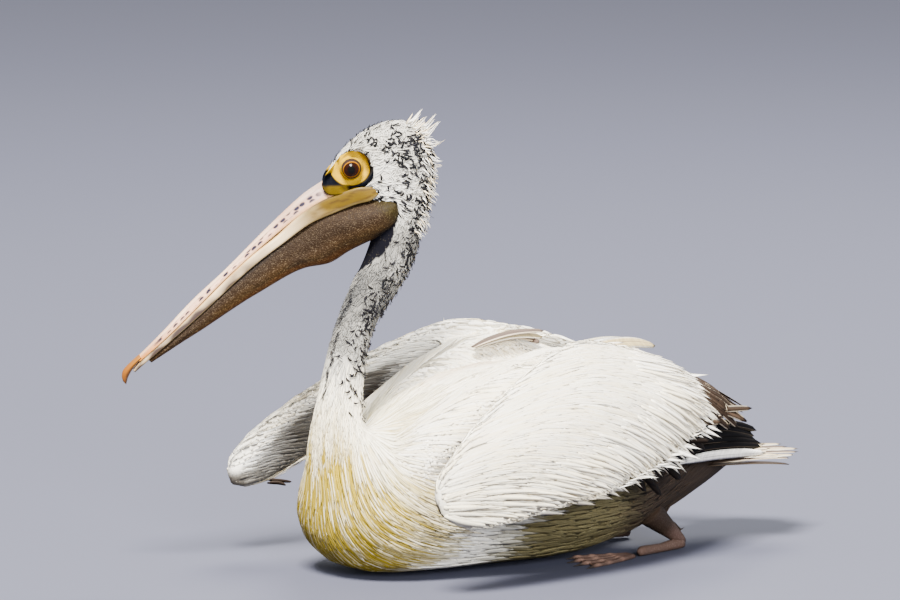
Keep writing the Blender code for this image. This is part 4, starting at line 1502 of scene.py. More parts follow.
def tube(name: str, rings: Array, tints: Array, spotted: Array | None = None) -> bpy.types.Object:
    """A closed, smooth surface through rings of points, capped at both ends.

    Args:
        name: The object's name.
        rings: Points, (rings, points in a ring, 3).
        tints: A colour for each point.
        spotted: How spotted each point is, if at all.

    Returns:
        The object. Its Place values are metres along and round it.
    """
    count, size = rings.shape[:2]
    steps = np.linalg.norm(np.diff(rings.mean(axis=1), axis=0), axis=1)
    along = np.concatenate([[0.0], np.cumsum(steps)])
    gaps = np.linalg.norm(np.diff(rings, axis=1), axis=2)
    around = np.concatenate([np.zeros((count, 1)), np.cumsum(gaps, axis=1)], axis=1)
    place = np.stack([np.broadcast_to(along[:, None], (count, size)), around, np.zeros((count, size))], axis=2)
    caps = [(0, j + 1, j) for j in range(1, size - 1)]
    last = (count - 1) * size
    caps += [(last, last + j, last + j + 1) for j in range(1, size - 1)]
    values = {"Tint": with_alpha(tints.reshape(-1, 3)), "Place": place.reshape(-1, 3)}
    if spotted is not None:
        values["Spotted"] = spotted.reshape(-1)
    turn = np.stack([along[:, None] / along[-1] + np.zeros((count, size)), around / around.max()], axis=2)
    unwrap = turn.reshape(-1, 2) * 0.96 + 0.02
    return face_outwards(
        make_mesh(name, rings.reshape(-1, 3), ring_quads(count, size), np.array(caps), values, unwrap)
    )


def face_outwards(piece: bpy.types.Object) -> bpy.types.Object:
    """Turns a closed mesh the right way out.

    Args:
        piece: The piece.

    Returns:
        The same piece.
    """
    mesh = piece.data
    mesh.calc_loop_triangles()
    points, triangles = read_rows(mesh.vertices, "co", 3), read_rows(mesh.loop_triangles, "vertices", 3, int)
    a, b, c = points[triangles].transpose(1, 0, 2)
    if (a * np.cross(b, c)).sum() < 0:
        mesh.flip_normals()
    return piece


def round_path(path: Array, radius: Array, corners: int, wide: float = 1.0, high: float = 1.0) -> Array:
    """Rings of points round a line.

    Args:
        path: Points along the line, one a row.
        radius: The radius at each, or a row of radii with one for each corner.
        corners: Points in a ring.
        wide: A ring's width, as a share of its radius.
        high: A ring's height, likewise.

    Returns:
        Points, (rings, points in a ring, 3).
    """
    ways = unit(np.gradient(path, axis=0))
    across = unit(np.cross(ways, UP))
    upright = np.cross(across, ways)
    turn = circle(corners)[None, :, None]
    out = np.cos(turn) * across[:, None] * wide + np.sin(turn) * upright[:, None] * high
    return path[:, None] + radius.reshape(len(path), -1)[..., None] * out


@dataclass
class Bill:
    """The upper bill with its nail, both sides of the lower jaw, and the pouch.

    Each table's rows give distance along the bill, then top, bottom and half width there.
    """

    root: tuple[float, float] = (0.2368, 0.4451)
    droop: float = math.radians(44.0)
    upper: Table = (
        (-0.010, -0.0020, -0.0290, 0.0200),
        (0.020, 0.0006, -0.0175, 0.0205),
        (0.050, 0.0020, -0.0122, 0.0185),
        (0.095, 0.0018, -0.0088, 0.0160),
        (0.150, 0.0004, -0.0066, 0.0148),
        (0.200, 0.0012, -0.0078, 0.0146),
        (0.250, -0.0012, -0.0085, 0.0150),
        (0.290, -0.0020, -0.0068, 0.0135),
    )
    nail: Table = (
        (0.286, -0.0020, -0.0068, 0.0132),
        (0.291, -0.0014, -0.0069, 0.0134),
        (0.302, -0.0010, -0.0082, 0.0105),
        (0.312, -0.0018, -0.0110, 0.0072),
        (0.318, -0.0060, -0.0142, 0.0042),
        (0.3205, -0.0105, -0.0158, 0.0018),
    )
    jaw: Table = (
        (-0.036, -0.0450, -0.0560, 0.0270),
        (-0.024, -0.0345, -0.0550, 0.0285),
        (-0.008, -0.0268, -0.0465, 0.0262),
        (0.016, -0.0176, -0.0370, 0.0228),
        (0.045, -0.0122, -0.0270, 0.0202),
        (0.083, -0.0110, -0.0222, 0.0170),
        (0.115, -0.0080, -0.0186, 0.0160),
        (0.150, -0.0072, -0.0170, 0.0152),
        (0.200, -0.0084, -0.0165, 0.0148),
        (0.240, -0.0091, -0.0150, 0.0144),
        (0.285, -0.0074, -0.0128, 0.0118),
        (0.303, -0.0090, -0.0125, 0.0070),
    )
    pouch: Table = (
        (-0.043, -0.0720, -0.0800, 0.0300),
        (-0.037, -0.0620, -0.0915, 0.0350),
        (-0.024, -0.0530, -0.0970, 0.0365),
        (-0.008, -0.0430, -0.0950, 0.0345),
        (0.014, -0.0320, -0.0870, 0.0300),
        (0.035, -0.0215, -0.0805, 0.0235),
        (0.060, -0.0150, -0.0750, 0.0180),
        (0.083, -0.0125, -0.0605, 0.0158),
        (0.104, -0.0100, -0.0528, 0.0150),
        (0.138, -0.0085, -0.0452, 0.0144),
        (0.163, -0.0085, -0.0398, 0.0138),
        (0.190, -0.0092, -0.0348, 0.0134),
        (0.218, -0.0100, -0.0300, 0.0130),
        (0.243, -0.0100, -0.0248, 0.0125),
        (0.282, -0.0092, -0.0178, 0.0098),
    )

    def point(self, out: Array, along: Array, above: Array) -> Array:
        """World points from the bill's own directions.

        Args:
            out: Distance to the bird's left.
            along: Distance along the bill.
            above: Height over the bill's axis.

        Returns:
            Points.
        """
        cos, sin = math.cos(self.droop), math.sin(self.droop)
        return head_point(self.root[0] + along * cos + above * sin, out, self.root[1] - along * sin + above * cos)

    def build(self) -> None:
        """Makes every piece of the bill."""
        self.build_upper()
        self.build_nail()
        for side in Side:
            self.build_jaw(side)
        self.build_pouch()

    def stations(self, table: Table, count: int) -> tuple[Array, Array, Array, Array]:
        """Evenly spaced stations.

        Args:
            table: The stations given.
            count: How many are wanted.

        Returns:
            Distance along, top, bottom and half width, each as a column.
        """
        rows = np.asarray(table)
        even = np.linspace(rows[0, 0], rows[-1, 0], count)
        places = np.interp(even, rows[:, 0], np.arange(len(rows)))
        found = read_curve(rows, places)
        return found[:, 0:1], found[:, 1:2], found[:, 2:3], found[:, 3:4]

    def build_upper(self) -> bpy.types.Object:
        """The upper bill: a keel down its middle, a groove each side of it, and a thin lip.

        Returns:
            The object.
        """
        along, top, bottom, half = self.stations(self.upper, 170)
        over, under = 41, 25  # points across the outside, and across the hollow below
        u = np.concatenate([np.cos(np.linspace(0.0, math.pi, over)), -np.cos(np.linspace(0.0, math.pi, under))[1:-1]])
        u = u[None, :]
        upper_side = (np.arange(u.shape[1]) < over)[None, :]
        rise = np.clip(1 - np.abs(u) ** 2.1, 0, 1) ** 0.80
        keel = 0.10 * np.exp(-((u / 0.20) ** 2)) - 0.11 * np.exp(-(((np.abs(u) - 0.40) / 0.10) ** 2))
        lip = 0.10 * np.exp(-(((np.abs(u) - 0.985) / 0.05) ** 2))
        shape = np.clip(rise * 0.90 + keel * smooth_step(along, 0.0, 0.03) + lip, 0.0, 1.0)
        hollow = 0.20 * (1 - u**2) * smooth_step(along, 0.01, 0.04)
        level = np.where(upper_side, shape, hollow)
        ripple = 1 + 0.008 * np.sin(along * 900.0 + np.abs(u) * 3) * (np.abs(u) > 0.9)
        rings = self.point(half * u * ripple, along + 0 * u, bottom + (top - bottom) * level)
        shape_of = rings.shape[:2]
        edge = np.broadcast_to(np.abs(u), shape_of)
        way = np.broadcast_to(along, shape_of)
        patch = speckle(rings, 45.0, 2.0)
        tint = plain((0.60, 0.38, 0.27), *shape_of)
        tint = mix(tint, (0.70, 0.52, 0.37), smooth_step(edge, 0.75, 0.35) * np.clip(0.7 + patch, 0, 1))
        tint = tint * (1 - 0.25 * smooth_step(way, 0.16, 0.04))[..., None]
        tint = mix(tint, (0.30, 0.23, 0.25), np.clip(smooth_step(way, 0.10, 0.0) * (0.25 + 0.6 * patch), 0, 1))
        tint = mix(tint, (0.40, 0.235, 0.110), smooth_step(edge, 0.90, 0.97) * 0.85)
        tip = smooth_step(way, 0.22, 0.292) * (0.45 + 0.5 * smooth_step(edge, 0.3, 0.9))
        tint = mix(tint, (0.32, 0.12, 0.012), tip)
        spotted = smooth_step(edge, 0.52, 0.62) * smooth_step(edge, 0.90, 0.84) * smooth_step(way, 0.004, 0.02)
        spotted = spotted * smooth_step(way, 0.275, 0.255)
        made = tube("upper_bill_horn", rings, tint, spotted * upper_side)
        finish = BareFinish("Spotted bill horn", roughness=0.42, coat=0.04, beads=160.0, stretch=0.12, wrinkles=260.0,
                            mottle=0.42, dark=(0.62, 0.48, 0.42), bump=0.25, spots=0.44, spot_rows=95.0,
                            subsurface=0.08)
        settle(made, "upper_bill", finish.make(), "upper_bill")
        return made

    def build_nail(self) -> bpy.types.Object:
        """The hooked nail at the bill's tip.

        Returns:
            The object.
        """
        along, top, bottom, half = self.stations(self.nail, 36)
        a = circle(40)[None, :]
        out = half * np.sign(np.cos(a)) * np.abs(np.cos(a)) ** 0.8
        rings = self.point(out, along + 0 * a, (top + bottom) / 2 + (top - bottom) / 2 * np.sin(a))
        share = np.broadcast_to(smooth_step(along, 0.288, 0.318), rings.shape[:2])
        low = np.broadcast_to(smooth_step(np.sin(a), 0.2, -0.7), rings.shape[:2])
        tint = mix(plain((0.25, 0.10, 0.008), *rings.shape[:2]), (0.20, 0.060, 0.004), share * 0.7)
        tint = mix(tint, (0.055, 0.030, 0.016), low * (0.35 + 0.5 * share))
        made = tube("bill_nail_horn", rings, tint)
        finish = BareFinish("Nail horn", roughness=0.36, coat=0.08, beads=300.0, mottle=0.35, dark=(0.45, 0.30, 0.2))
        settle(made, "nail", finish.make(), "bill_nail")
        return made

    def build_jaw(self, side: Side) -> bpy.types.Object:
        """One side of the lower jaw.

        Args:
            side: Which side.

        Returns:
            The object.
        """
        along, top, bottom, half = self.stations(self.jaw, 150)
        a = circle(28)[None, :]
        bulge = np.sign(np.cos(a)) * np.abs(np.cos(a)) ** 0.7
        wall = np.interp(along, (-0.035, -0.02, 0.05, 0.30), (0.0030, 0.0052, 0.0042, 0.0030))
        out = half - wall / 2 + wall / 2 * bulge + 0.0004
        level = (top + bottom) / 2 + (top - bottom) / 2 * np.sign(np.sin(a)) * np.abs(np.sin(a)) ** 0.8
        rings = self.point(side.value * out, along + 0 * a, level)
        shape_of = rings.shape[:2]
        way, height = np.broadcast_to(along, shape_of), np.broadcast_to(np.sin(a), shape_of)
        patch = speckle(rings, 60.0, 4.0)
        tint = plain((0.64, 0.50, 0.31), *shape_of)
        tint = mix(tint, (0.085, 0.052, 0.0008), smooth_step(way, 0.085, 0.020) * np.clip(1.1 + 0.4 * patch, 0, 1))
        lines = np.sin(height * 8.0 + 90.0 * way + 4.0 * patch)
        tint = mix(tint, (0.040, 0.022, 0.004), smooth_step(way, 0.055, 0.005) * smooth_step(lines, 0.35, 0.95) * 0.85)
        dusky = smooth_step(way, 0.075, 0.150) * np.clip(0.80 - 0.45 * height + patch, 0, 1)
        tint = mix(tint, (0.040, 0.028, 0.026), dusky)
        tint = mix(tint, (0.16, 0.12, 0.05), smooth_step(height, -0.45, -0.95) * 0.6)
        tint = mix(tint, (0.42, 0.21, 0.040), smooth_step(height, 0.55, 0.95) * smooth_step(way, 0.03, 0.08) * 0.7)
        made = tube(f"jaw_{side.word}_horn", rings, tint)
        finish = BareFinish(f"Jaw horn {side.word}", roughness=0.46, coat=0.02, beads=220.0, stretch=0.10,
                            wrinkles=200.0, mottle=0.40, dark=(0.58, 0.48, 0.36), bump=0.25, subsurface=0.05)
        settle(made, "jaw", finish.make(), f"jaw_{side.word}")
        return made

    def build_pouch(self) -> bpy.types.Object:
        """The throat pouch, in long soft folds.

        Returns:
            The object.
        """
        along, top, bottom, half = self.stations(self.pouch, 210)
        a = np.linspace(math.pi / 2, 2.5 * math.pi, 96, endpoint=False)[None, :]
        low = np.sin(a) < 0
        power = np.where(low, 0.62, 1.1)
        out = half * np.sign(np.cos(a)) * np.abs(np.cos(a)) ** power
        level = (top + bottom) / 2 + (top - bottom) / 2 * np.sin(a)
        rings = self.point(out, along + 0 * a, level)
        shape_of = rings.shape[:2]
        way = np.broadcast_to(along, shape_of)
        depth = np.broadcast_to(0.5 - 0.5 * np.sin(a), shape_of)
        centre = rings.mean(axis=1, keepdims=True)
        folds = speckle(np.stack([way * 9.0, depth * 5.2, np.sign(out + 0 * way) * 3.0], axis=-1), 1.0, 5.0)
        folds = folds * smooth_step(depth, 0.10, 0.35)
        crease = np.sin(depth * 26.0 + way * 14.0) * smooth_step(way, 0.20, -0.02)
        rings = rings + unit(rings - centre) * (0.0011 * folds + 0.00022 * crease)[..., None]
        patch = speckle(rings, 34.0, 9.0)
        tint = plain((0.046, 0.029, 0.015), *shape_of)
        tint = mix(tint, (0.092, 0.054, 0.019), smooth_step(depth, 0.45, 0.85) * np.clip(0.7 + patch, 0, 1))
        tint = mix(tint, (0.120, 0.050, 0.012), smooth_step(depth, 0.80, 0.97) * smooth_step(way, -0.01, 0.05))
        tint = mix(tint, (0.014, 0.012, 0.014), smooth_step(depth, 0.42, 0.22) * smooth_step(way, 0.05, 0.12) * 0.85)
        tint = mix(tint, (0.050, 0.042, 0.010), smooth_step(way, -0.018, -0.036) * 0.8)
        tint = mix(tint, (0.004, 0.004, 0.006), smooth_step(way, 0.012, -0.008) * smooth_step(depth, 0.80, 0.93))
        made = tube("pouch_skin", rings, tint)
        finish = BareFinish("Pouch skin", roughness=0.55, coat=0.0, beads=760.0, stretch=0.9, wrinkles=210.0,
                            mottle=0.95, dark=(0.22, 0.18, 0.15), bump=0.8, depth=0.0010, shine=0.12,
                            fleck=(0.088, 0.070, 0.042), fleck_share=0.85)
        settle(made, "pouch", finish.make(), "pouch")
        return made


@dataclass
class Face:
    """Both eyes, their lids, and the bare skin of the face."""

    skin: Skin
    centre: Spot = (0.2030, 0.0225, 0.4576)
    radius: float = 0.0115
    lid: float = 0.0077
    outline: tuple[tuple[float, float], ...] = (
        (-47.0, 0.0385),
        (-30.0, 0.0375),
        (-20.0, 0.0325),
        (-11.0, 0.0270),
        (0.0, 0.0215),
        (16.0, 0.0172),
        (60.0, 0.0163),
        (119.5, 0.0190),
        (155.0, 0.0215),
        (190.0, 0.0242),
        (233.0, 0.0232),
        (276.0, 0.0245),
        (295.0, 0.0300),
        (313.0, 0.0385),
    )

    def reach(self, degrees: Array) -> Array:
        """How far the bare skin reaches from the eye's middle.

        Args:
            degrees: The direction, from straight ahead and upwards.

        Returns:
            Distances.
        """
        angles, reaches = np.array(self.outline).T
        turned = np.mod(degrees + 47.0, 360.0) - 47.0
        return np.interp(turned, angles, reaches)

    def covers(self, points: Array, margin: float) -> Array:
        """Where there is bare skin and no feathers.

        Args:
            points: World points, one a row.
            margin: How far inside the outline that starts.

        Returns:
            True on bare skin.
        """
        forward, out, up = head_place(points)
        ahead, above = forward - self.centre[0], up - self.centre[2]
        distance = np.hypot(ahead, above)
        inside = distance < self.reach(np.degrees(np.arctan2(above, ahead))) - margin
        return inside & (np.abs(out) > 0.008)

    def build(self) -> None:
        """Makes both eyes and the skin round them."""
        self.shade_skin()
        for side in Side:
            self.build_eye(side)
            self.build_orbit(side)

    def shade_skin(self) -> None:
        """Darkens the feathered skin under and just round the bare face."""
        mesh = self.skin.body.data
        values = mesh.attributes["Tint"].data
        for index in np.flatnonzero(self.covers(read_rows(mesh.vertices, "co", 3), -0.0020)):
            values[index].color = (0.010, 0.009, 0.009, 1.0)

    def build_eye(self, side: Side) -> bpy.types.Object:
        """One wet, dark brown eyeball.

        Args:
            side: Which side.

        Returns:
            The object.
        """
        polar = np.linspace(0.02, math.pi - 0.02, 40)[:, None]
        turn = circle(56)[None, :]
        bulge = 1 + 0.035 * np.exp(-((polar / 0.55) ** 2))
        out = self.centre[1] + self.radius * bulge * np.cos(polar) + 0 * turn
        forward = self.centre[0] + self.radius * np.sin(polar) * np.cos(turn)
        up = self.centre[2] + self.radius * np.sin(polar) * np.sin(turn)
        rings = head_point(forward, side.value * out, up)
        angle = np.broadcast_to(polar, rings.shape[:2])
        fleck = 0.5 + speckle(rings, 900.0, 1.0)
        tint = plain((0.006, 0.002, 0.0013), *rings.shape[:2])
        tint = mix(tint, (0.014, 0.0035, 0.002), np.clip(smooth_step(angle, 0.34, 0.55) * fleck, 0, 1))
        tint = mix(tint, (0.002, 0.002, 0.002), smooth_step(angle, 0.37, 0.33))
        tint = mix(tint, (0.02, 0.012, 0.010), smooth_step(angle, 0.72, 0.82))
        made = tube(f"eyeball_{side.word}", rings, tint)
        finish = BareFinish(f"Wet eye {side.word}", roughness=0.10, shine=0.10, beads=2000.0, mottle=0.1, bump=0.0)
        settle(made, "eye", finish.make(), f"eye_{side.word}")
        return made

    def build_orbit(self, side: Side) -> bpy.types.Object:
        """The bare skin from the lids out to the feathers and the bill.

        Args:
            side: Which side.

        Returns:
            The object.
        """
        share = np.linspace(0, 1, 44)[:, None] ** 1.15
        turn = circle(144)[None, :]
        reach = self.reach(np.degrees(turn))
        for _ in range(6):
            reach = 0.5 * reach + 0.25 * (np.roll(reach, 1) + np.roll(reach, -1))
        reach = reach + 0.0016
        inner = self.lid * (1 + 0.05 * np.cos(2 * (turn + 0.5)))
        distance = inner + (reach - inner) * share
        forward = self.centre[0] + distance * np.cos(turn)
        up = self.centre[2] + distance * np.sin(turn)
        shape_of = distance.shape
        rays = head_point(forward, np.full(shape_of, side.value * 0.07), up).reshape(-1, 3)
        inwards = Vector(head_way(0.0, -side.value, 0.0))
        points = []
        for ray in rays:
            hit = self.skin.tree.ray_cast(Vector(ray), inwards)[0]
            points.append(hit[:] if hit is not None else (Vector(ray) + inwards * 0.045)[:])
        depth = np.abs(head_place(np.array(points).reshape(*shape_of, 3))[1])
        for _ in range(10):
            ring = 0.5 * depth + 0.25 * (np.roll(depth, 1, axis=1) + np.roll(depth, -1, axis=1))
            ring[1:-1] = 0.5 * ring[1:-1] + 0.25 * (ring[2:] + ring[:-2])
            depth = ring
        ball = self.centre[1] + np.sqrt(np.maximum(self.radius**2 - np.minimum(distance, self.radius * 0.98) ** 2, 0.0))
        rim = np.exp(-(((distance - inner - 0.0012) / 0.0011) ** 2))
        second = np.exp(-(((distance - inner - 0.0042) / 0.0010) ** 2))
        around = np.stack([np.cos(turn) * distance * 160, np.sin(turn) * distance * 160, 0 * distance], axis=-1)
        wrinkle = speckle(around, 1.0) * smooth_step(distance, inner + 0.001, inner + 0.006)
        near = smooth_step(distance, inner + 0.0065, inner + 0.0008)
        level = depth + 0.0012 + 0.0002 * wrinkle
        level = level * (1 - near) + np.maximum(ball + 0.0002, level) * near + 0.0009 * rim + 0.00035 * second
        level = np.where(share <= 0.0, ball - 0.0008, level)
        level = level - 0.0030 * smooth_step(share, 0.965, 1.0)
        front = head_point(forward, side.value * level, up)
        back = head_point(forward, side.value * (depth - 0.0045), up)
        tint = self.tints(forward - self.centre[0], up - self.centre[2], distance, inner, front)
        rings = np.concatenate([front, back[::-1]], axis=0)
        tints = np.concatenate([tint, tint[::-1]], axis=0)
        made = self.shell(f"orbit_{side.word}_skin", rings, tints)
        finish = BareFinish(f"Face skin {side.word}", roughness=0.70, shine=0.012, beads=900.0, stretch=1.0,
                            wrinkles=260.0, mottle=0.40, dark=(0.62, 0.40, 0.16), bump=0.5, depth=0.0004)
        settle(made, "orbit", finish.make(), f"orbit_{side.word}")
        return made

    def tints(self, ahead: Array, above: Array, distance: Array, inner: Array, points: Array) -> Array:
        """Colours of the face: yellow with a painted highlight above the eye, an orange ring, a blue-black band below,
        and olive lores.

        Args:
            ahead: Distance ahead of the eye.
            above: Height over the eye.
            distance: Distance from the eye's middle.
            inner: The lids' radius.
            points: World points.

        Returns:
            Colours.
        """
        patch = speckle(points, 150.0, 6.0)
        angle = np.degrees(np.arctan2(above, ahead)) % 360.0
        kite = np.interp(angle, (0, 60, 119.5, 155, 190, 233, 276, 315, 346, 360),
                         (0.0200, 0.0165, 0.0186, 0.0194, 0.0203, 0.0186, 0.0190, 0.0213, 0.0232, 0.0200))
        tint = plain((0.33, 0.215, 0.0), *distance.shape)
        # lighter yellow in random patches, and a painted highlight over the bare skin above the eye
        tint = mix(tint, (0.43, 0.285, 0.0), np.clip(0.4 + patch + 0.35 * smooth_step(above, 0.004, 0.012), 0, 1))
        tint = mix(tint, (0.17, 0.045, 0.001), smooth_step(distance, inner + 0.0036, inner + 0.0010) * 0.8)
        tint = mix(tint, (0.018, 0.005, 0.003), smooth_step(distance, inner + 0.0012, inner + 0.0004))
        lower = smooth_step(angle, 135.0, 165.0) * smooth_step(angle, 353.0, 345.0)
        band = smooth_step(distance, kite - 0.0006, kite + 0.0008) * lower
        tint = mix(tint, (0.0022, 0.0028, 0.0055), band)
        lores = smooth_step(above, -0.0175, -0.0210) * smooth_step(ahead, 0.000, 0.007)
        tint = mix(tint, (0.060, 0.041, 0.002), lores * np.clip(0.85 + patch, 0, 1))
        gape = smooth_step(above, -0.0205, -0.0235) * smooth_step(ahead, 0.002, -0.004)
        return mix(tint, (0.15, 0.10, 0.006), gape * 0.9)

    def shell(self, name: str, rings: Array, tints: Array) -> bpy.types.Object:
        """A closed ring-shaped shell, from the lids outwards in front and back again behind.

        Args:
            name: The object's name.
            rings: Points, (rings, points in a ring, 3).
            tints: Their colours.

        Returns:
            The object.
        """
        count, size = rings.shape[:2]
        forward, out, up = head_place(rings)
        place = np.stack([forward, up, out * 0.2], axis=-1)
        flat = np.stack([forward - self.centre[0], up - self.centre[2]], axis=-1) * 5.0
        flat = np.where((np.arange(count) < count // 2)[:, None, None], flat + 0.25, flat + 0.75).reshape(-1, 2)
        values = {"Tint": with_alpha(tints.reshape(-1, 3)), "Place": place.reshape(-1, 3)}
        quads = ring_quads(count, size, closed=True)
        return face_outwards(make_mesh(name, rings.reshape(-1, 3), quads, None, values, flat))


# ---------------------------------------------------------------------------------------------------------------
# Crest, flight feathers and tail
# ---------------------------------------------------------------------------------------------------------------


def bend_path(root: Array, bend: Array, tip: Array, steps: int) -> Array:
    """Points along smooth bows.

    Args:
        root: Where each starts, one a row.
        bend: What each is drawn towards.
        tip: Where each ends.
        steps: How many steps.

    Returns:
        Points, (bows, steps + 1, 3).
    """
    t = np.linspace(0, 1, steps + 1)[None, :, None]
    return (1 - t) ** 2 * root[:, None] + 2 * t * (1 - t) * bend[:, None] + t**2 * tip[:, None]


def atlas(count: int) -> Array:
    """Places for feathers that don't grow from the skin, spread evenly over the OFBake map.

    Args:
        count: How many feathers.

    Returns:
        One place each.
    """
    columns = math.ceil(math.sqrt(count))
    number = np.arange(count)
    return (np.stack([number % columns, number // columns], axis=1) + 0.5) / columns


class Tone(Enum):
    """Colours of the large feathers: the vane, then its margin."""

    BLACK = ((0.0030, 0.0028, 0.0030), (0.006, 0.005, 0.005))
    DARK_BROWN = ((0.020, 0.013, 0.010), (0.050, 0.036, 0.025))
    EDGED_BROWN = ((0.036, 0.024, 0.017), (0.62, 0.50, 0.35))
    GREY_BROWN = ((0.095, 0.068, 0.055), (0.60, 0.50, 0.38))
    BUFF = ((0.40, 0.32, 0.17), (0.80, 0.74, 0.62))
    WHITE = ((0.80, 0.78, 0.73), (0.84, 0.83, 0.79))
    CREAM = ((0.42, 0.34, 0.23), (0.78, 0.72, 0.60))


@dataclass(frozen=True)
class Fan:
    """A row of overlapping feathers between a first and a last one, each given by root, bend and tip."""

    first: tuple[Spot, Spot, Spot]
    last: tuple[Spot, Spot, Spot]
    tones: tuple[Tone, ...]
    half_width: float
    thickness: float = 0.0012
    arch: float = 0.0
    longer: float = 0.0
    tilt: float = 0.22
    profile: tuple[float, ...] = (0.45, 0.8, 1.0, 1.0, 1.0, 0.96, 0.86, 0.58)
    raise_by: float = 0.0
    stray: float = 0.0015

    def paths(self, side: Side, steps: int) -> tuple[Array, Array]:
        """Where the feathers lie.

        Args:
            side: Which side of the bird.
            steps: Steps along each.

        Returns:
            Points and upward directions along each.
        """
        count = len(self.tones)
        share = np.linspace(0, 1, count)[:, None]
        first, last = np.asarray(self.first), np.asarray(self.last)
        root, bend, tip = (first[k] + share * (last[k] - first[k]) for k in range(3))
        middle = np.sin(math.pi * share)
        bend = bend + middle * np.array([0.0, 0.0, self.arch])
        tip = tip + middle * np.array([0.0, self.longer, self.arch])
        rng = np.random.default_rng(count)
        tip = tip + self.stray * rng.standard_normal(tip.shape) * np.array([1.0, 2.5, 0.5])
        paths = bend_path(root, bend + self.stray * rng.standard_normal(bend.shape), tip, steps)
        across = (last - first).mean(axis=0)
        ways = unit(np.gradient(paths, axis=1))
        ups = unit(np.cross(ways, np.broadcast_to(across, ways.shape)))
        if (ups @ np.array([0.35, 0.0, 1.0])).mean() < 0:
            ups = -ups
        ups = unit(ups + self.tilt * unit(across))
        paths = paths + ups * self.raise_by
        mirror = np.array([float(side.value), 1.0, 1.0])
        return paths * mirror, ups * mirror


@dataclass
class FlightFeathers:
    """Primaries, secondaries, tertials and the small thumb feather of both wings."""

    def build(self) -> None:
        """Makes the feathers of both wings."""
        dark = Plumage("Dark quills", contrast=0.45, roughness=0.50, bump=0.45, shaft=(0.10, 0.08, 0.06),
                       shaft_width=0.04, edged=True, shine=0.05).make()
        pale = Plumage("Long pale feathers", contrast=0.45, shaft=(0.16, 0.11, 0.07), shaft_width=0.06,
                       edged=True).make()
        for side in Side:
            for kind, slot, fans, finish in (
                ("primaries", "flight", self.primaries(), dark),
                ("secondaries", "flight", self.secondaries(), dark),
                ("tertials", "plumage", self.tertials(side), pale),
                ("thumb", "flight", self.thumb(), dark),
            ):
                self.fan(f"{kind}_{side.word}", slot, side, fans, finish, f"wing_{side.word}_{kind}")

    def fan(
        self, name: str, slot: str, side: Side, fans: tuple[Fan, ...], finish: bpy.types.Material, node: str
    ) -> bpy.types.Object:
        """Joins one wing's feathers of one kind.

        Args:
            name: The object's name.
            slot: The record's material slot.
            side: Which wing.
            fans: The rows of feathers.
            finish: Their material.
            node: The CAD node that they replace.

        Returns:
            The object.
        """
        feathers = Feathers(name, Cut.BROAD)
        places = atlas(sum(len(fan.tones) for fan in fans))
        for number, fan in enumerate(fans):
            count = len(fan.tones)
            own, places = places[:count], places[count:]
            paths, ups = fan.paths(side, 14)
            tints, edges = (np.array([tone.value[k] for tone in fan.tones]) for k in (0, 1))
            feathers.add(paths, ups, np.full(count, fan.half_width), fan.thickness, tints, own, seed=number,
                         profile=fan.profile, edges=edges)
        made = feathers.build()
        settle(made, slot, finish, node)
        return made

    def primaries(self) -> tuple[Fan, ...]:
        """The folded wing tip: black quills with pale inner webs showing between them."""
        row = (Tone.WHITE,) + 5 * (Tone.BLACK,)
        return (
            Fan(((0.108, 0.160, 0.110), (0.080, 0.235, 0.114), (0.046, 0.320, 0.1010)),
                ((0.092, 0.174, 0.146), (0.078, 0.238, 0.150), (0.038, 0.314, 0.1240)), row, 0.0062, tilt=-0.6),
        )

    def secondaries(self) -> tuple[Fan, ...]:
        """Narrow brown feathers with cream edges, over the folded wing tip."""
        row = (Tone.BLACK, Tone.DARK_BROWN, Tone.DARK_BROWN, Tone.EDGED_BROWN, Tone.EDGED_BROWN, Tone.DARK_BROWN,
               Tone.EDGED_BROWN, Tone.EDGED_BROWN)
        return (
            Fan(((0.092, 0.172, 0.160), (0.082, 0.240, 0.175), (0.046, 0.297, 0.1430)),
                ((0.056, 0.170, 0.208), (0.053, 0.235, 0.200), (0.040, 0.285, 0.1590)), row, 0.0048),
        )

    def tertials(self, side: Side) -> tuple[Fan, ...]:
        """The innermost long feathers, raised on the left and folded short on the right."""
        if side is Side.LEFT:
            return (
                Fan(((0.078, 0.052, 0.2430), (0.068, 0.112, 0.2550), (0.0525, 0.1730, 0.2372)),
                    ((0.050, 0.052, 0.2400), (0.046, 0.100, 0.2520), (0.0370, 0.1600, 0.2390)),
                    (Tone.BUFF, Tone.WHITE, Tone.BUFF), 0.0085, tilt=-1.1),
            )
        return (
            Fan(((0.066, 0.006, 0.2330), (0.067, 0.072, 0.2480), (0.052, 0.0780, 0.2345)),
                ((0.040, -0.024, 0.2400), (0.036, 0.020, 0.2605), (0.030, 0.0690, 0.2515)),
                (Tone.GREY_BROWN, Tone.GREY_BROWN, Tone.BUFF, Tone.GREY_BROWN), 0.0088, tilt=0.9),
        )

    def thumb(self) -> tuple[Fan, ...]:
        """The little feather that stands off the wing's bend."""
        return (
            Fan(((0.2030, -0.1940, 0.0790), (0.1970, -0.182, 0.0800), (0.1910, -0.1740, 0.0765)),
                ((0.2030, -0.1940, 0.0830), (0.1970, -0.184, 0.0825), (0.1930, -0.1760, 0.0790)),
                (Tone.DARK_BROWN, Tone.DARK_BROWN), 0.0022, 0.0006),
        )


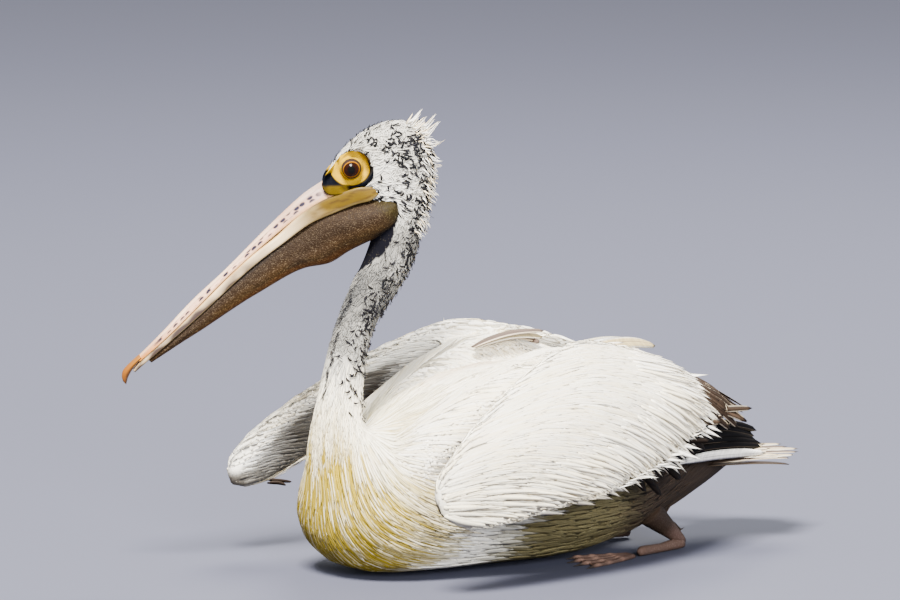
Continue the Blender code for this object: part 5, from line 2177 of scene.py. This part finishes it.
@dataclass
class Tail:
    """The short, rounded tail."""

    def build(self) -> bpy.types.Object:
        """Makes the tail feathers.

        Returns:
            The object.
        """
        finish = Plumage("Tail feathers", contrast=0.50, shaft=(0.06, 0.045, 0.03), shaft_width=0.07, edged=True).make()
        tones = (Tone.DARK_BROWN, Tone.GREY_BROWN, Tone.CREAM, Tone.GREY_BROWN, Tone.CREAM, Tone.GREY_BROWN, Tone.CREAM)
        over = (Tone.CREAM, Tone.BUFF, Tone.CREAM, Tone.CREAM, Tone.BUFF, Tone.CREAM)
        lower = Fan(((0.042, 0.245, 0.091), (0.066, 0.305, 0.095), (0.0620, 0.352, 0.0870)),
                    ((-0.042, 0.245, 0.091), (-0.066, 0.305, 0.095), (-0.0620, 0.352, 0.0870)),
                    tones + tones[::-1], 0.0110, 0.0012, arch=0.011, longer=0.034, tilt=0.0,
                    profile=(0.55, 0.8, 1.0, 1.0, 1.0, 0.98, 0.88, 0.55), raise_by=0.001)
        upper = Fan(((0.036, 0.245, 0.097), (0.048, 0.290, 0.099), (0.0550, 0.338, 0.0920)),
                    ((-0.036, 0.245, 0.097), (-0.048, 0.290, 0.099), (-0.0550, 0.338, 0.0920)),
                    over + over, 0.0075, 0.0010, arch=0.009, longer=0.014, tilt=0.0, raise_by=0.002)
        return FlightFeathers().fan("tail_feathers", "tail", Side.LEFT, (lower, upper), finish, "tail")


@dataclass
class Crest:
    """The shaggy nape: pointed tufts that stand out over short curls."""

    seed: int = 21
    strands: int = 6
    curls: int = 620
    tufts: Table = (
        (0.138, 0.505, 0.1225, 0.5245, 0.000),
        (0.131, 0.498, 0.1185, 0.5165, 0.007),
        (0.126, 0.494, 0.1070, 0.5175, -0.006),
        (0.122, 0.490, 0.1025, 0.5115, 0.008),
        (0.119, 0.480, 0.0985, 0.4870, -0.008),
        (0.118, 0.466, 0.1005, 0.4640, 0.007),
        (0.118, 0.458, 0.0995, 0.4590, -0.004),
        (0.118, 0.450, 0.1030, 0.4420, -0.007),
        (0.119, 0.436, 0.1045, 0.4240, 0.005),
    )

    def build(self) -> bpy.types.Object:
        """Makes the crest.

        Returns:
            The object.
        """
        rng = np.random.default_rng(self.seed)
        feathers = Feathers("crest_tufts", Cut.TUFT)
        roots, tips, lift = [], [], []
        for f0, z0, f1, z1, out in self.tufts:
            for _ in range(self.strands):
                forward, aside = f0 + rng.uniform(-0.003, 0.006), out * 0.4 + rng.normal(0, 0.0035)
                roots.append((forward, aside, z0 + rng.uniform(-0.005, 0.004)))
                short = rng.uniform(0.0, 0.35)
                tip = np.array((f1, out, z1)) * (1 - short) + np.array((f0, out, z0)) * short
                tips.append(tip + rng.normal(0, 0.0007, 3) * (1 + 4 * short))
                lift.append(rng.uniform(-0.003, 0.003))
        for _ in range(self.curls):
            z = rng.uniform(0.385, 0.507)
            out = rng.uniform(-0.026, 0.026) * np.interp(z, (0.385, 0.47, 0.507), (0.8, 1.0, 0.6))
            back = np.interp(z, (0.382, 0.408, 0.438, 0.474, 0.503, 0.511),
                             (0.1244, 0.1180, 0.1119, 0.1120, 0.1268, 0.148))
            back += 0.0045 + 16.0 * out**2
            reach, droop = rng.uniform(0.007, 0.0155), rng.uniform(0.4, 1.6)
            way = np.array((-1.0, rng.normal(0, 0.35) + out * 22, -droop + 2.2 * smooth_step(z, 0.47, 0.51)))
            way = way / np.linalg.norm(way) * reach
            roots.append((back, out, z))
            tips.append(np.array((back, out, z)) + way)
            lift.append(rng.uniform(-0.005, 0.007))
        roots, tips, lift = np.array(roots), np.array(tips), np.array(lift)
        middle = (roots + tips) / 2 + np.stack([-np.abs(lift) * 0.6, lift * 0.5, lift], axis=1)
        paths = head_point(*np.moveaxis(bend_path(roots, middle, tips, 5), -1, 0))
        ways = unit(np.gradient(paths, axis=1))
        spin = unit(rng.standard_normal((len(roots), 3)))
        ups = unit(np.cross(ways, spin[:, None, :]))
        count = len(roots)
        tints = plain((0.80, 0.775, 0.72), count) * (1 + 0.07 * rng.standard_normal(count))[:, None]
        cream = rng.random(count) < 0.3
        tints[cream] = tints[cream] * np.array((0.95, 0.82, 0.60))
        tall = len(self.tufts) * self.strands
        dark = (rng.random(count) < 0.30) & (np.arange(count) >= tall)
        tints[dark] = (0.010, 0.010, 0.012)
        half = rng.uniform(0.0006, 0.0012, count)
        half[:tall] *= 0.85
        feathers.add(paths, ups, half, 0.0005, tints.clip(0.01, 0.95), atlas(count), seed=5,
                     profile=(0.8, 1.0, 0.85, 0.6, 0.35))
        made = feathers.build()
        settle(made, "crest", Plumage("Crest tufts", contrast=0.15, bump=0.1).make(), "crest")
        return made


# ---------------------------------------------------------------------------------------------------------------
# Feet
# ---------------------------------------------------------------------------------------------------------------


def joined(name: str, pieces: list[bpy.types.Object]) -> bpy.types.Object:
    """Joins pieces into the first of them.

    Args:
        name: The joined object's name.
        pieces: The pieces.

    Returns:
        The joined object.
    """
    select_only(*pieces)
    bpy.ops.object.join()
    pieces[0].name = name
    return pieces[0]


@dataclass
class Feet:
    """Both webbed feet and their shanks, folded flat under the belly."""

    first: tuple[Spot, Spot, Spot] = ((0.0690, 0.119, 0.0), (0.052, 0.082, 0.0), (0.0400, 0.050, 0.0))
    last: tuple[Spot, Spot, Spot] = ((0.0760, 0.119, 0.0), (0.100, 0.072, 0.0), (0.1100, 0.0285, 0.0))
    heel: Spot = (0.052, 0.205, 0.0085)
    ankle: Spot = (0.073, 0.128, 0.0078)
    shin_top: Spot = (0.0590, 0.150, 0.0500)
    toes: int = 4

    def build(self) -> None:
        """Makes both feet."""
        finish = BareFinish("Foot skin", roughness=0.55, beads=650.0, stretch=0.8, wrinkles=260.0, mottle=0.75,
                            dark=(0.45, 0.36, 0.32), bump=0.9, depth=0.0006).make()
        for side in Side:
            foot = [self.toe(side, k) for k in range(self.toes)] + [self.web(side)]
            leg = [self.shank(side), self.shin(side)]
            for node, pieces in ((f"foot_{side.word}", foot), (f"shank_{side.word}", leg)):
                settle(joined(f"{node}_skin", pieces), "foot", finish, node)

    def path(self, share: float, steps: int) -> Array:
        """The line of one toe.

        Args:
            share: 0 for the inner toe, 1 for the outer one.
            steps: Steps along it.

        Returns:
            Points.
        """
        first, last = np.asarray(self.first), np.asarray(self.last)
        root, bend, tip = (first[k] + share * (last[k] - first[k]) for k in range(3))
        tip = tip + np.array([0.0, -0.010 * math.sin(math.pi * share), 0.0])
        return bend_path(root[None], bend[None], tip[None], steps)[0]

    def toe(self, side: Side, number: int) -> bpy.types.Object:
        """One jointed toe with its claw.

        Args:
            side: Which foot.
            number: Which toe.

        Returns:
            The object.
        """
        path = self.path(number / (self.toes - 1), 48)
        share = np.linspace(0, 1, len(path))
        knuckles = np.exp(-(((share[:, None] - np.array([0.30, 0.58, 0.80])) / 0.045) ** 2)).sum(axis=1)
        radius = np.interp(share, (0, 0.05, 0.86, 0.90, 1.0), (0.0022, 0.0031, 0.0021, 0.0014, 0.0004))
        radius = radius + 0.0004 * knuckles
        path[:, 2] = radius * 0.95 + 0.0001
        path[:, 0] *= side.value
        rings = round_path(path, radius, 16, 1.1, 0.95)
        tint = plain((0.095, 0.064, 0.054), *rings.shape[:2])
        tint = mix(tint, (0.30, 0.20, 0.16), (0.5 * knuckles)[:, None].clip(0, 0.6))
        tint = mix(tint, (0.030, 0.025, 0.022), smooth_step(share, 0.86, 0.90)[:, None])
        return tube(f"toe_{side.word}_{number}", rings, tint)

    def web(self, side: Side) -> bpy.types.Object:
        """The web between the toes.

        Args:
            side: Which foot.

        Returns:
            The object.
        """
        rows, columns = 30, 49
        top = np.zeros((rows, columns, 3))
        for j in range(columns):
            share = j / (columns - 1)
            edge = (share * (self.toes - 1)) % 1.0
            reach = 0.84 - 0.16 * math.sin(math.pi * edge) ** 0.8
            line = self.path(share, 100)
            at = np.linspace(0.04, reach, rows) * 100
            top[:, j] = np.stack([np.interp(at, np.arange(101), line[:, k]) for k in range(3)], axis=1)
            top[:, j, 2] = 0.0024 - 0.0008 * math.sin(math.pi * edge) + 0.0002 * np.sin(at * 1.3)
        top[..., 0] *= side.value
        low = top.copy()
        low[..., 2] -= 0.0012
        loop = np.concatenate([top, low[:, ::-1]], axis=1)
        return tube(f"web_{side.word}", loop, plain((0.115, 0.075, 0.060), *loop.shape[:2]))

    def shank(self, side: Side) -> bpy.types.Object:
        """The bare shank, scaled down its front.

        Args:
            side: Which leg.

        Returns:
            The object.
        """
        start, end = np.array(self.heel), np.array(self.ankle)
        share = np.linspace(0, 1, 40)
        path = start + share[:, None] * (end - start)
        radius = np.interp(share, (0, 0.08, 0.18, 0.5, 0.85, 0.94, 1),
                           (0.0040, 0.0068, 0.0064, 0.0050, 0.0054, 0.0054, 0.0034))
        path[:, 2] = radius + 0.0012
        path[:, 0] *= side.value
        scales = 1 + 0.03 * np.sin(share * 150.0)[:, None] * np.clip(np.sin(circle(24)), 0, 1)[None]
        rings = round_path(path, radius[:, None] * scales, 24)
        return tube(f"shank_{side.word}_skin", rings, plain((0.105, 0.072, 0.060), *rings.shape[:2]))

    def shin(self, side: Side) -> bpy.types.Object:
        """The bare lower end of the shin, from the heel up into the thigh's feathers.

        Args:
            side: Which leg.

        Returns:
            The object.
        """
        start, end = np.array(self.heel), np.array(self.shin_top)
        share = np.linspace(0, 1, 16)
        path = start + share[:, None] * (end - start)
        path[:, 0] *= side.value
        radius = np.interp(share, (0, 0.08, 0.25, 1), (0.0045, 0.0066, 0.0080, 0.0170))
        rings = round_path(path, radius, 24)
        tint = plain((0.095, 0.064, 0.054), *rings.shape[:2])
        tint = mix(tint, (0.030, 0.021, 0.015), smooth_step(share, 0.3, 0.6)[:, None])
        return tube(f"shin_{side.word}", rings, tint)


# ---------------------------------------------------------------------------------------------------------------
# The coat of small feathers
# ---------------------------------------------------------------------------------------------------------------


COVERT_REACH = 0.052  # how far the tips of the white coverts reach from their roots
LONG_COVERT_REACH = 0.074
BROWN_REACH = 0.034
FACE_MARGIN = -0.0022  # how far tufts keep off the bare face
TURNS_TRIED = (0.0, 0.8, -0.8, 1.6, -1.6, 2.4, -2.4, math.pi)  # in radians, until a tuft clears the face


class PlumageCoat:
    """All the small feathers, patch by patch."""

    def __init__(self, skin: Skin, markings: Markings, face: Face) -> None:
        """Keeps the skin and makes the finishes.

        Args:
            skin: The skin that they grow on.
            markings: Their colours.
            face: The bare face, which no feathers grow on.
        """
        self.skin, self.markings, self.face = skin, markings, face
        self.coat = Coat(
            skin,
            markings,
            {
                "white": Plumage("White contour feathers", contrast=0.10, subsurface=0.30, margin=0.10).make(),
                "down": Plumage("Neck down", contrast=0.10, bump=0.1, subsurface=0.2).make(),
                "edged": Plumage("Dark wing feathers", contrast=0.35, roughness=0.60, edged=True, shine=0.04).make(),
            },
            self.steer,
        )

    def build(self) -> None:
        """Grows every patch."""
        regions, centres, normals = self.skin.face_regions, self.skin.centres, self.skin.face_normals
        bare = self.markings.throat_mask(centres) > 0.5
        head = within(regions, Region.HEAD) & ~bare & ~self.face.covers(centres, -0.0012)
        neck = within(regions, Region.UPPER_NECK) & ~bare
        lower, breast = within(regions, Region.LOWER_NECK), within(regions, Region.BREAST)
        trunk = within(regions, Region.TRUNK, Region.RUMP) & (normals[:, 1] < 0.80)
        high, afloat = centres[:, 2] > 0.10, centres[:, 2] > 0.03
        arm, wing = within(regions, Region.ARM), within(regions, Region.WING)
        side = np.sign(centres[:, 0])
        outer = normals[:, 0] * side * 0.8 + normals[:, 2] * 0.6 > 0.0
        grow = self.coat.grow
        grow(Patch("head_down", "plumage", 0.0029, 0.0135, 0.0011, 0.0005, 0.0018, 6, Cut.TUFT, 0.40, 2.4, seed=3,
                   finish="down", obey=0.0, profile=(0.5, 0.95, 1.0, 0.85, 0.6)), head)
        grow(Patch("head_specks", "plumage", 0.0037, 0.0082, 0.0012, 0.0006, 0.0024, 5, Cut.TUFT, 0.7, 2.6, seed=13,
                   finish="down", rise=0.0017, obey=0.0, shade=0.0), head, self.blacken, self.speckled)
        grow(Patch("neck_down", "neck", 0.0027, 0.0095, 0.0010, 0.0005, 0.0018, 4, Cut.TUFT, 0.35, 1.3, seed=4,
                   finish="down", obey=0.05), neck)
        grow(Patch("neck_specks", "neck", 0.0038, 0.0074, 0.0011, 0.0005, 0.0024, 5, Cut.TUFT, 0.7, 2.2, seed=14,
                   finish="down", rise=0.0015, obey=0.0, shade=0.0), neck | lower, self.blacken, self.speckled)
        grow(Patch("neck_parting", "neck", 0.0015, 0.0060, 0.0007, 0.0004, 0.0002, 3, Cut.TUFT, 0.12, 0.3, seed=15,
                   finish="down", rise=0.0022, obey=0.0, shade=0.0), neck | lower, self.blacken, self.parted)
        grow(Patch("lower_neck_feathers", "neck", 0.0032, 0.0180, 0.0011, 0.0005, 0.0008, 4, Cut.TUFT, 0.12, 0.4,
                   seed=5, finish="down"), lower, self.streak)
        grow(Patch("breast_feathers", "breast", 0.0043, 0.0430, 0.0018, 0.0004, 0.0008, 6, Cut.VANE, 0.06, 0.12,
                   seed=6), breast & afloat, self.streak)
        grow(Patch("back_feathers", "plumage", 0.0054, 0.0520, 0.0042, 0.0003, 0.0003, 6, Cut.VANE, 0.05, 0.10,
                   seed=7, profile=POINTED_VANE), trunk & high, self.soften)
        grow(Patch("belly_feathers", "plumage", 0.0078, 0.0400, 0.0048, 0.0006, 0.0004, 4, Cut.VANE, 0.08, 0.12,
                   seed=8), (trunk & ~high) | (breast & ~afloat))
        grow(Patch("thigh_feathers", "plumage", 0.0036, 0.0110, 0.0020, 0.0004, 0.0001, 4, Cut.VANE, 0.08, 0.12,
                   seed=18), within(regions, Region.THIGH))
        grow(Patch("undertail_feathers", "plumage", 0.0055, 0.0700, 0.0042, 0.0006, 0.0004, 6, Cut.VANE, 0.06, 0.10,
                   seed=16, obey=0.05), trunk & (centres[:, 1] > 0.19) & (centres[:, 2] < 0.13), choose=self.level)
        for which in Side:
            word, own_arm, own_wing = which.word, arm & (side == which.value), wing & (side == which.value)
            grow(Patch(f"scapulars_{word}", "plumage", 0.0050, 0.0560, 0.0040, 0.0003, 0.0003, 7, Cut.VANE, 0.04, 0.08,
                       seed=9, profile=POINTED_VANE), own_arm, self.soften)
            grow(Patch(f"coverts_{word}", "plumage", 0.0047, 0.0540, 0.0038, 0.00025, 0.0013, 7, Cut.VANE, 0.04, 0.10,
                       seed=10, rise=0.0006, profile=POINTED_VANE), own_wing & outer, self.soften, self.ahead_of_edge,
                 self.looseness)
            grow(Patch(f"long_coverts_{word}", "plumage", 0.0074, 0.0740, 0.0036, 0.0004, 0.0030, 8, Cut.VANE, 0.05,
                       0.14, seed=19, rise=0.0009, profile=(0.5, 0.85, 1.0, 0.85, 0.55, 0.28)), own_wing & outer,
                 self.soften, self.at_edge)
            grow(Patch(f"wing_edge_{word}", "flight", 0.0070, 0.0540, 0.0046, 0.0006, 0.0004, 7, Cut.VANE, 0.015, 0.04,
                       seed=17, profile=(0.6, 1.0, 1.0, 0.95, 0.75), finish="edged", edge=1.0, obey=0.1),
                 own_wing & outer & (centres[:, 1] > 0.0), self.darken, self.near_edge)
            grow(Patch(f"wing_lining_{word}", "plumage", 0.0054, 0.0340, 0.0034, 0.0003, 0.0001, 5, Cut.VANE, 0.04,
                       0.06, seed=11, profile=(0.5, 0.9, 1.0, 0.8, 0.45, 0.15)),
                 own_wing & ~outer & (centres[:, 1] < 0.195))

    def steer(self, roots: Roots, aim: Array, curl: Array, lengths: Array) -> tuple[Array, Array]:
        """Turns tufts that would lie over the bare face away from it.

        Args:
            roots: Where they grow.
            aim: The angle that each starts off the lie by.
            curl: How far each turns along its length.
            lengths: How long each is.

        Returns:
            New angles and turns.
        """
        flow = self.skin.face_flow[roots.faces]
        side = np.cross(roots.normals, flow)
        best, done = aim.copy(), np.zeros(len(aim), bool)
        near = np.zeros(len(aim), bool)
        for turn in TURNS_TRIED:
            angle = aim + turn
            way = flow * np.cos(angle)[:, None] + side * np.sin(angle)[:, None]
            bad = np.zeros(len(aim), bool)
            for share in (0.35, 0.7, 1.0):
                spots = roots.points + way * (lengths * share)[:, None]
                bad |= self.face.covers(spots, FACE_MARGIN) | (self.markings.throat_mask(spots) > 0.5)
            near |= bad
            best = np.where(~done & ~bad, angle, best)
            done |= ~bad
        return best, np.where(near, 0.15 * curl, curl)

    def past_edge(self, roots: Roots, length: float) -> Array:
        """How far a feather's tip reaches past the line where the white coverts end.

        Args:
            roots: Where feathers grow.
            length: Their length.

        Returns:
            Metres past the line, negative ahead of it.
        """
        return self.markings.beyond_coverts(roots.points + self.skin.face_flow[roots.faces] * length)

    def ahead_of_edge(self, roots: Roots) -> Array:
        """Which white coverts keep ahead of the dark wing feathers.

        Args:
            roots: Where they could grow.

        Returns:
            True for those that stay.
        """
        ragged = 0.006 * np.random.default_rng(31).standard_normal(len(roots.points)).clip(-1.5, 1.5)
        return self.past_edge(roots, COVERT_REACH) < ragged

    def at_edge(self, roots: Roots) -> Array:
        """Which of the longest white coverts end at the line.

        Args:
            roots: Where they could grow.

        Returns:
            True for those that stay.
        """
        ragged = 0.006 * np.random.default_rng(34).standard_normal(len(roots.points))
        past = self.past_edge(roots, LONG_COVERT_REACH) + ragged
        y, z = roots.points[:, 1], roots.points[:, 2]
        return (past < 0.004) & (past > -0.030) & ~((y > 0.125) & (z > 0.175))

    def looseness(self, roots: Roots) -> Array:
        """How far coverts stand off: flat at the wing's bend, loose toward its edge.

        Args:
            roots: Where they grow.

        Returns:
            Shares.
        """
        return 0.18 + 0.82 * smooth_step(self.past_edge(roots, COVERT_REACH), -0.075, -0.010)

    def level(self, roots: Roots) -> Array:
        """Leaves out feathers that would hang straight down.

        Args:
            roots: Where they could grow.

        Returns:
            True for those that stay.
        """
        return (self.skin.face_flow[roots.faces][:, 2] > -0.30) & (roots.points[:, 1] < 0.235)

    def near_edge(self, roots: Roots) -> Array:
        """Which dark feathers reach out from under the white coverts.

        Args:
            roots: Where they could grow.

        Returns:
            True for those that stay.
        """
        y, z = roots.points[:, 1], roots.points[:, 2]
        return (self.past_edge(roots, BROWN_REACH) > -0.004) & ~((y > 0.150) & (z < 0.168)) & (z < 0.196)

    def darken(self, colours: Array, roots: Roots) -> Array:
        """Brown above and black below, for the feathers at the folded wing's edge.

        Args:
            colours: The feathers' colours.
            roots: Where they grow.

        Returns:
            Dark colours.
        """
        chance = np.random.default_rng(33).random(len(colours))
        return self.markings.edge_brown(roots.points[:, 2]) * (0.6 + 0.6 * chance)[:, None]

    def soften(self, colours: Array, roots: Roots) -> Array:
        """Varies white feathers from cool to cream.

        Args:
            colours: The feathers' colours.
            roots: Where they grow.

        Returns:
            Colours that differ a little from feather to feather.
        """
        chance = np.random.default_rng(32).random(len(colours))
        cream = np.array(self.markings.cream) * (0.97, 0.93, 0.86)
        return mix(colours, cream, 0.30 + 0.60 * smooth_step(chance, 0.20, 1.0))

    def parted(self, roots: Roots) -> Array:
        """Which of the places lie in the neck's parting.

        Args:
            roots: Where tufts could grow.

        Returns:
            True in the parting.
        """
        return self.markings.parting(roots.points, roots.normals, 0.035) > 0.5

    def speckled(self, roots: Roots) -> Array:
        """Which of the places have a black tuft.

        Args:
            roots: Where tufts could grow.

        Returns:
            True for a black tuft.
        """
        return self.markings.specks(roots.points, roots.normals, np.random.default_rng(12))

    def streak(self, colours: Array, roots: Roots) -> Array:
        """Lets white plumes show between stained ones.

        Args:
            colours: The feathers' colours.
            roots: Where they grow.

        Returns:
            Colours that differ more from feather to feather.
        """
        chance = np.random.default_rng(6).random(len(colours))
        pale = smooth_step(chance, 0.62, 0.98) * (0.25 + 0.45 * smooth_step(roots.points[:, 2], 0.06, 0.15))
        paler = mix(colours, self.markings.cream, pale)
        return paler * (1 - 0.25 * smooth_step(chance, 0.30, 0.0))[:, None]

    def blacken(self, colours: Array, roots: Roots) -> Array:
        """Makes tufts black.

        Args:
            colours: The tufts' colours.
            roots: Where they grow.

        Returns:
            Black, for every one.
        """
        rng = np.random.default_rng(len(roots.points))
        return np.array(self.markings.speck) * rng.uniform(0.3, 1.5, len(roots.points))[:, None]


# ---------------------------------------------------------------------------------------------------------------
# The studio
# ---------------------------------------------------------------------------------------------------------------


@dataclass
class Studio:
    """A plain pale floor, soft light and the camera."""

    azimuth: float = 55.0
    elevation: float = 7.5
    distance: float = 12.0
    lens: float = 426.7
    target: Spot = (0.0, -0.0824, 0.3023)

    def build(self) -> None:
        """Sets up floor, lights and camera."""
        corners = FLOOR_REACH * np.array([(-1, -1, 0), (1, -1, 0), (1, 1, 0), (-1, 1, 0)], float)
        floor = make_mesh("floor", corners, np.array([[0, 1, 2, 3]]))
        floor.data.materials.append(self.floor_finish())
        world = bpy.data.worlds.new("soft_room")
        world.use_nodes = True
        keep_values(world.node_tree.nodes["Background"], {"Color": (0.88, 0.92, 1.0, 1.0), "Strength": 0.55})
        bpy.context.scene.world = world
        self.lamp("key", (5.4, -6.0, 11.0), 4.2, 14600.0, (1.0, 0.955, 0.88))
        self.lamp("fill", (7.0, -2.6, 2.3), 2.2, 1500.0, (0.99, 0.985, 0.97)).visible_glossy = False
        self.lamp("rim", (-2.6, 2.6, 3.4), 2.0, 330.0, (1.0, 0.99, 0.97))
        camera = new_object("camera", bpy.data.cameras.new("camera"))
        camera.data.sensor_width, camera.data.lens, camera.data.clip_end = CAMERA_FRAME, self.lens, 100.0
        a, e = math.radians(self.azimuth), math.radians(self.elevation)
        back = Vector((math.sin(a) * math.cos(e), -math.cos(a) * math.cos(e), math.sin(e)))
        camera.location = Vector(self.target) + back * self.distance
        camera.rotation_euler = back.to_track_quat("Z", "Y").to_euler()
        bpy.context.scene.camera = camera

    def floor_finish(self) -> bpy.types.Material:
        """A matt, faintly uneven floor.

        Returns:
            The material.
        """
        made = Finish("Studio floor")
        cloud = made.nodes.add("ShaderNodeTexNoise", Scale=1.5, Detail=3.0).outputs[0]
        tone = made.nodes.blend((0.050, 0.053, 0.082), (0.057, 0.061, 0.092), cloud)
        made.nodes.give(made.shader.inputs["Base Color"], tone)
        keep_values(made.shader, {"Roughness": 0.85})
        return made.material

    def lamp(self, name: str, place: Spot, size: float, power: float, colour: Colour) -> bpy.types.Object:
        """A soft area lamp aimed at the bird.

        Args:
            name: Its name.
            place: Where it stands.
            size: Width of its square face.
            power: Watts.
            colour: Its colour.

        Returns:
            The lamp.
        """
        light = bpy.data.lights.new(name, "AREA")
        light.size, light.energy, light.color = size, power, colour
        lamp = new_object(name, light)
        lamp.location = place
        lamp.rotation_euler = (Vector(place) - Vector(self.target)).to_track_quat("Z", "Y").to_euler()
        return lamp


def main() -> None:
    """Builds everything in order and keeps the sizes."""
    logging.basicConfig(level=logging.INFO, format="%(message)s")
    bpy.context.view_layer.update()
    Studio().build()
    markings = Markings()
    skin = Skin(markings)
    skin.build()
    face = Face(skin)
    PlumageCoat(skin, markings, face).build()
    Bill().build()
    face.build()
    Crest().build()
    FlightFeathers().build()
    Tail().build()
    Feet().build()


if __name__ == "__main__":
    main()
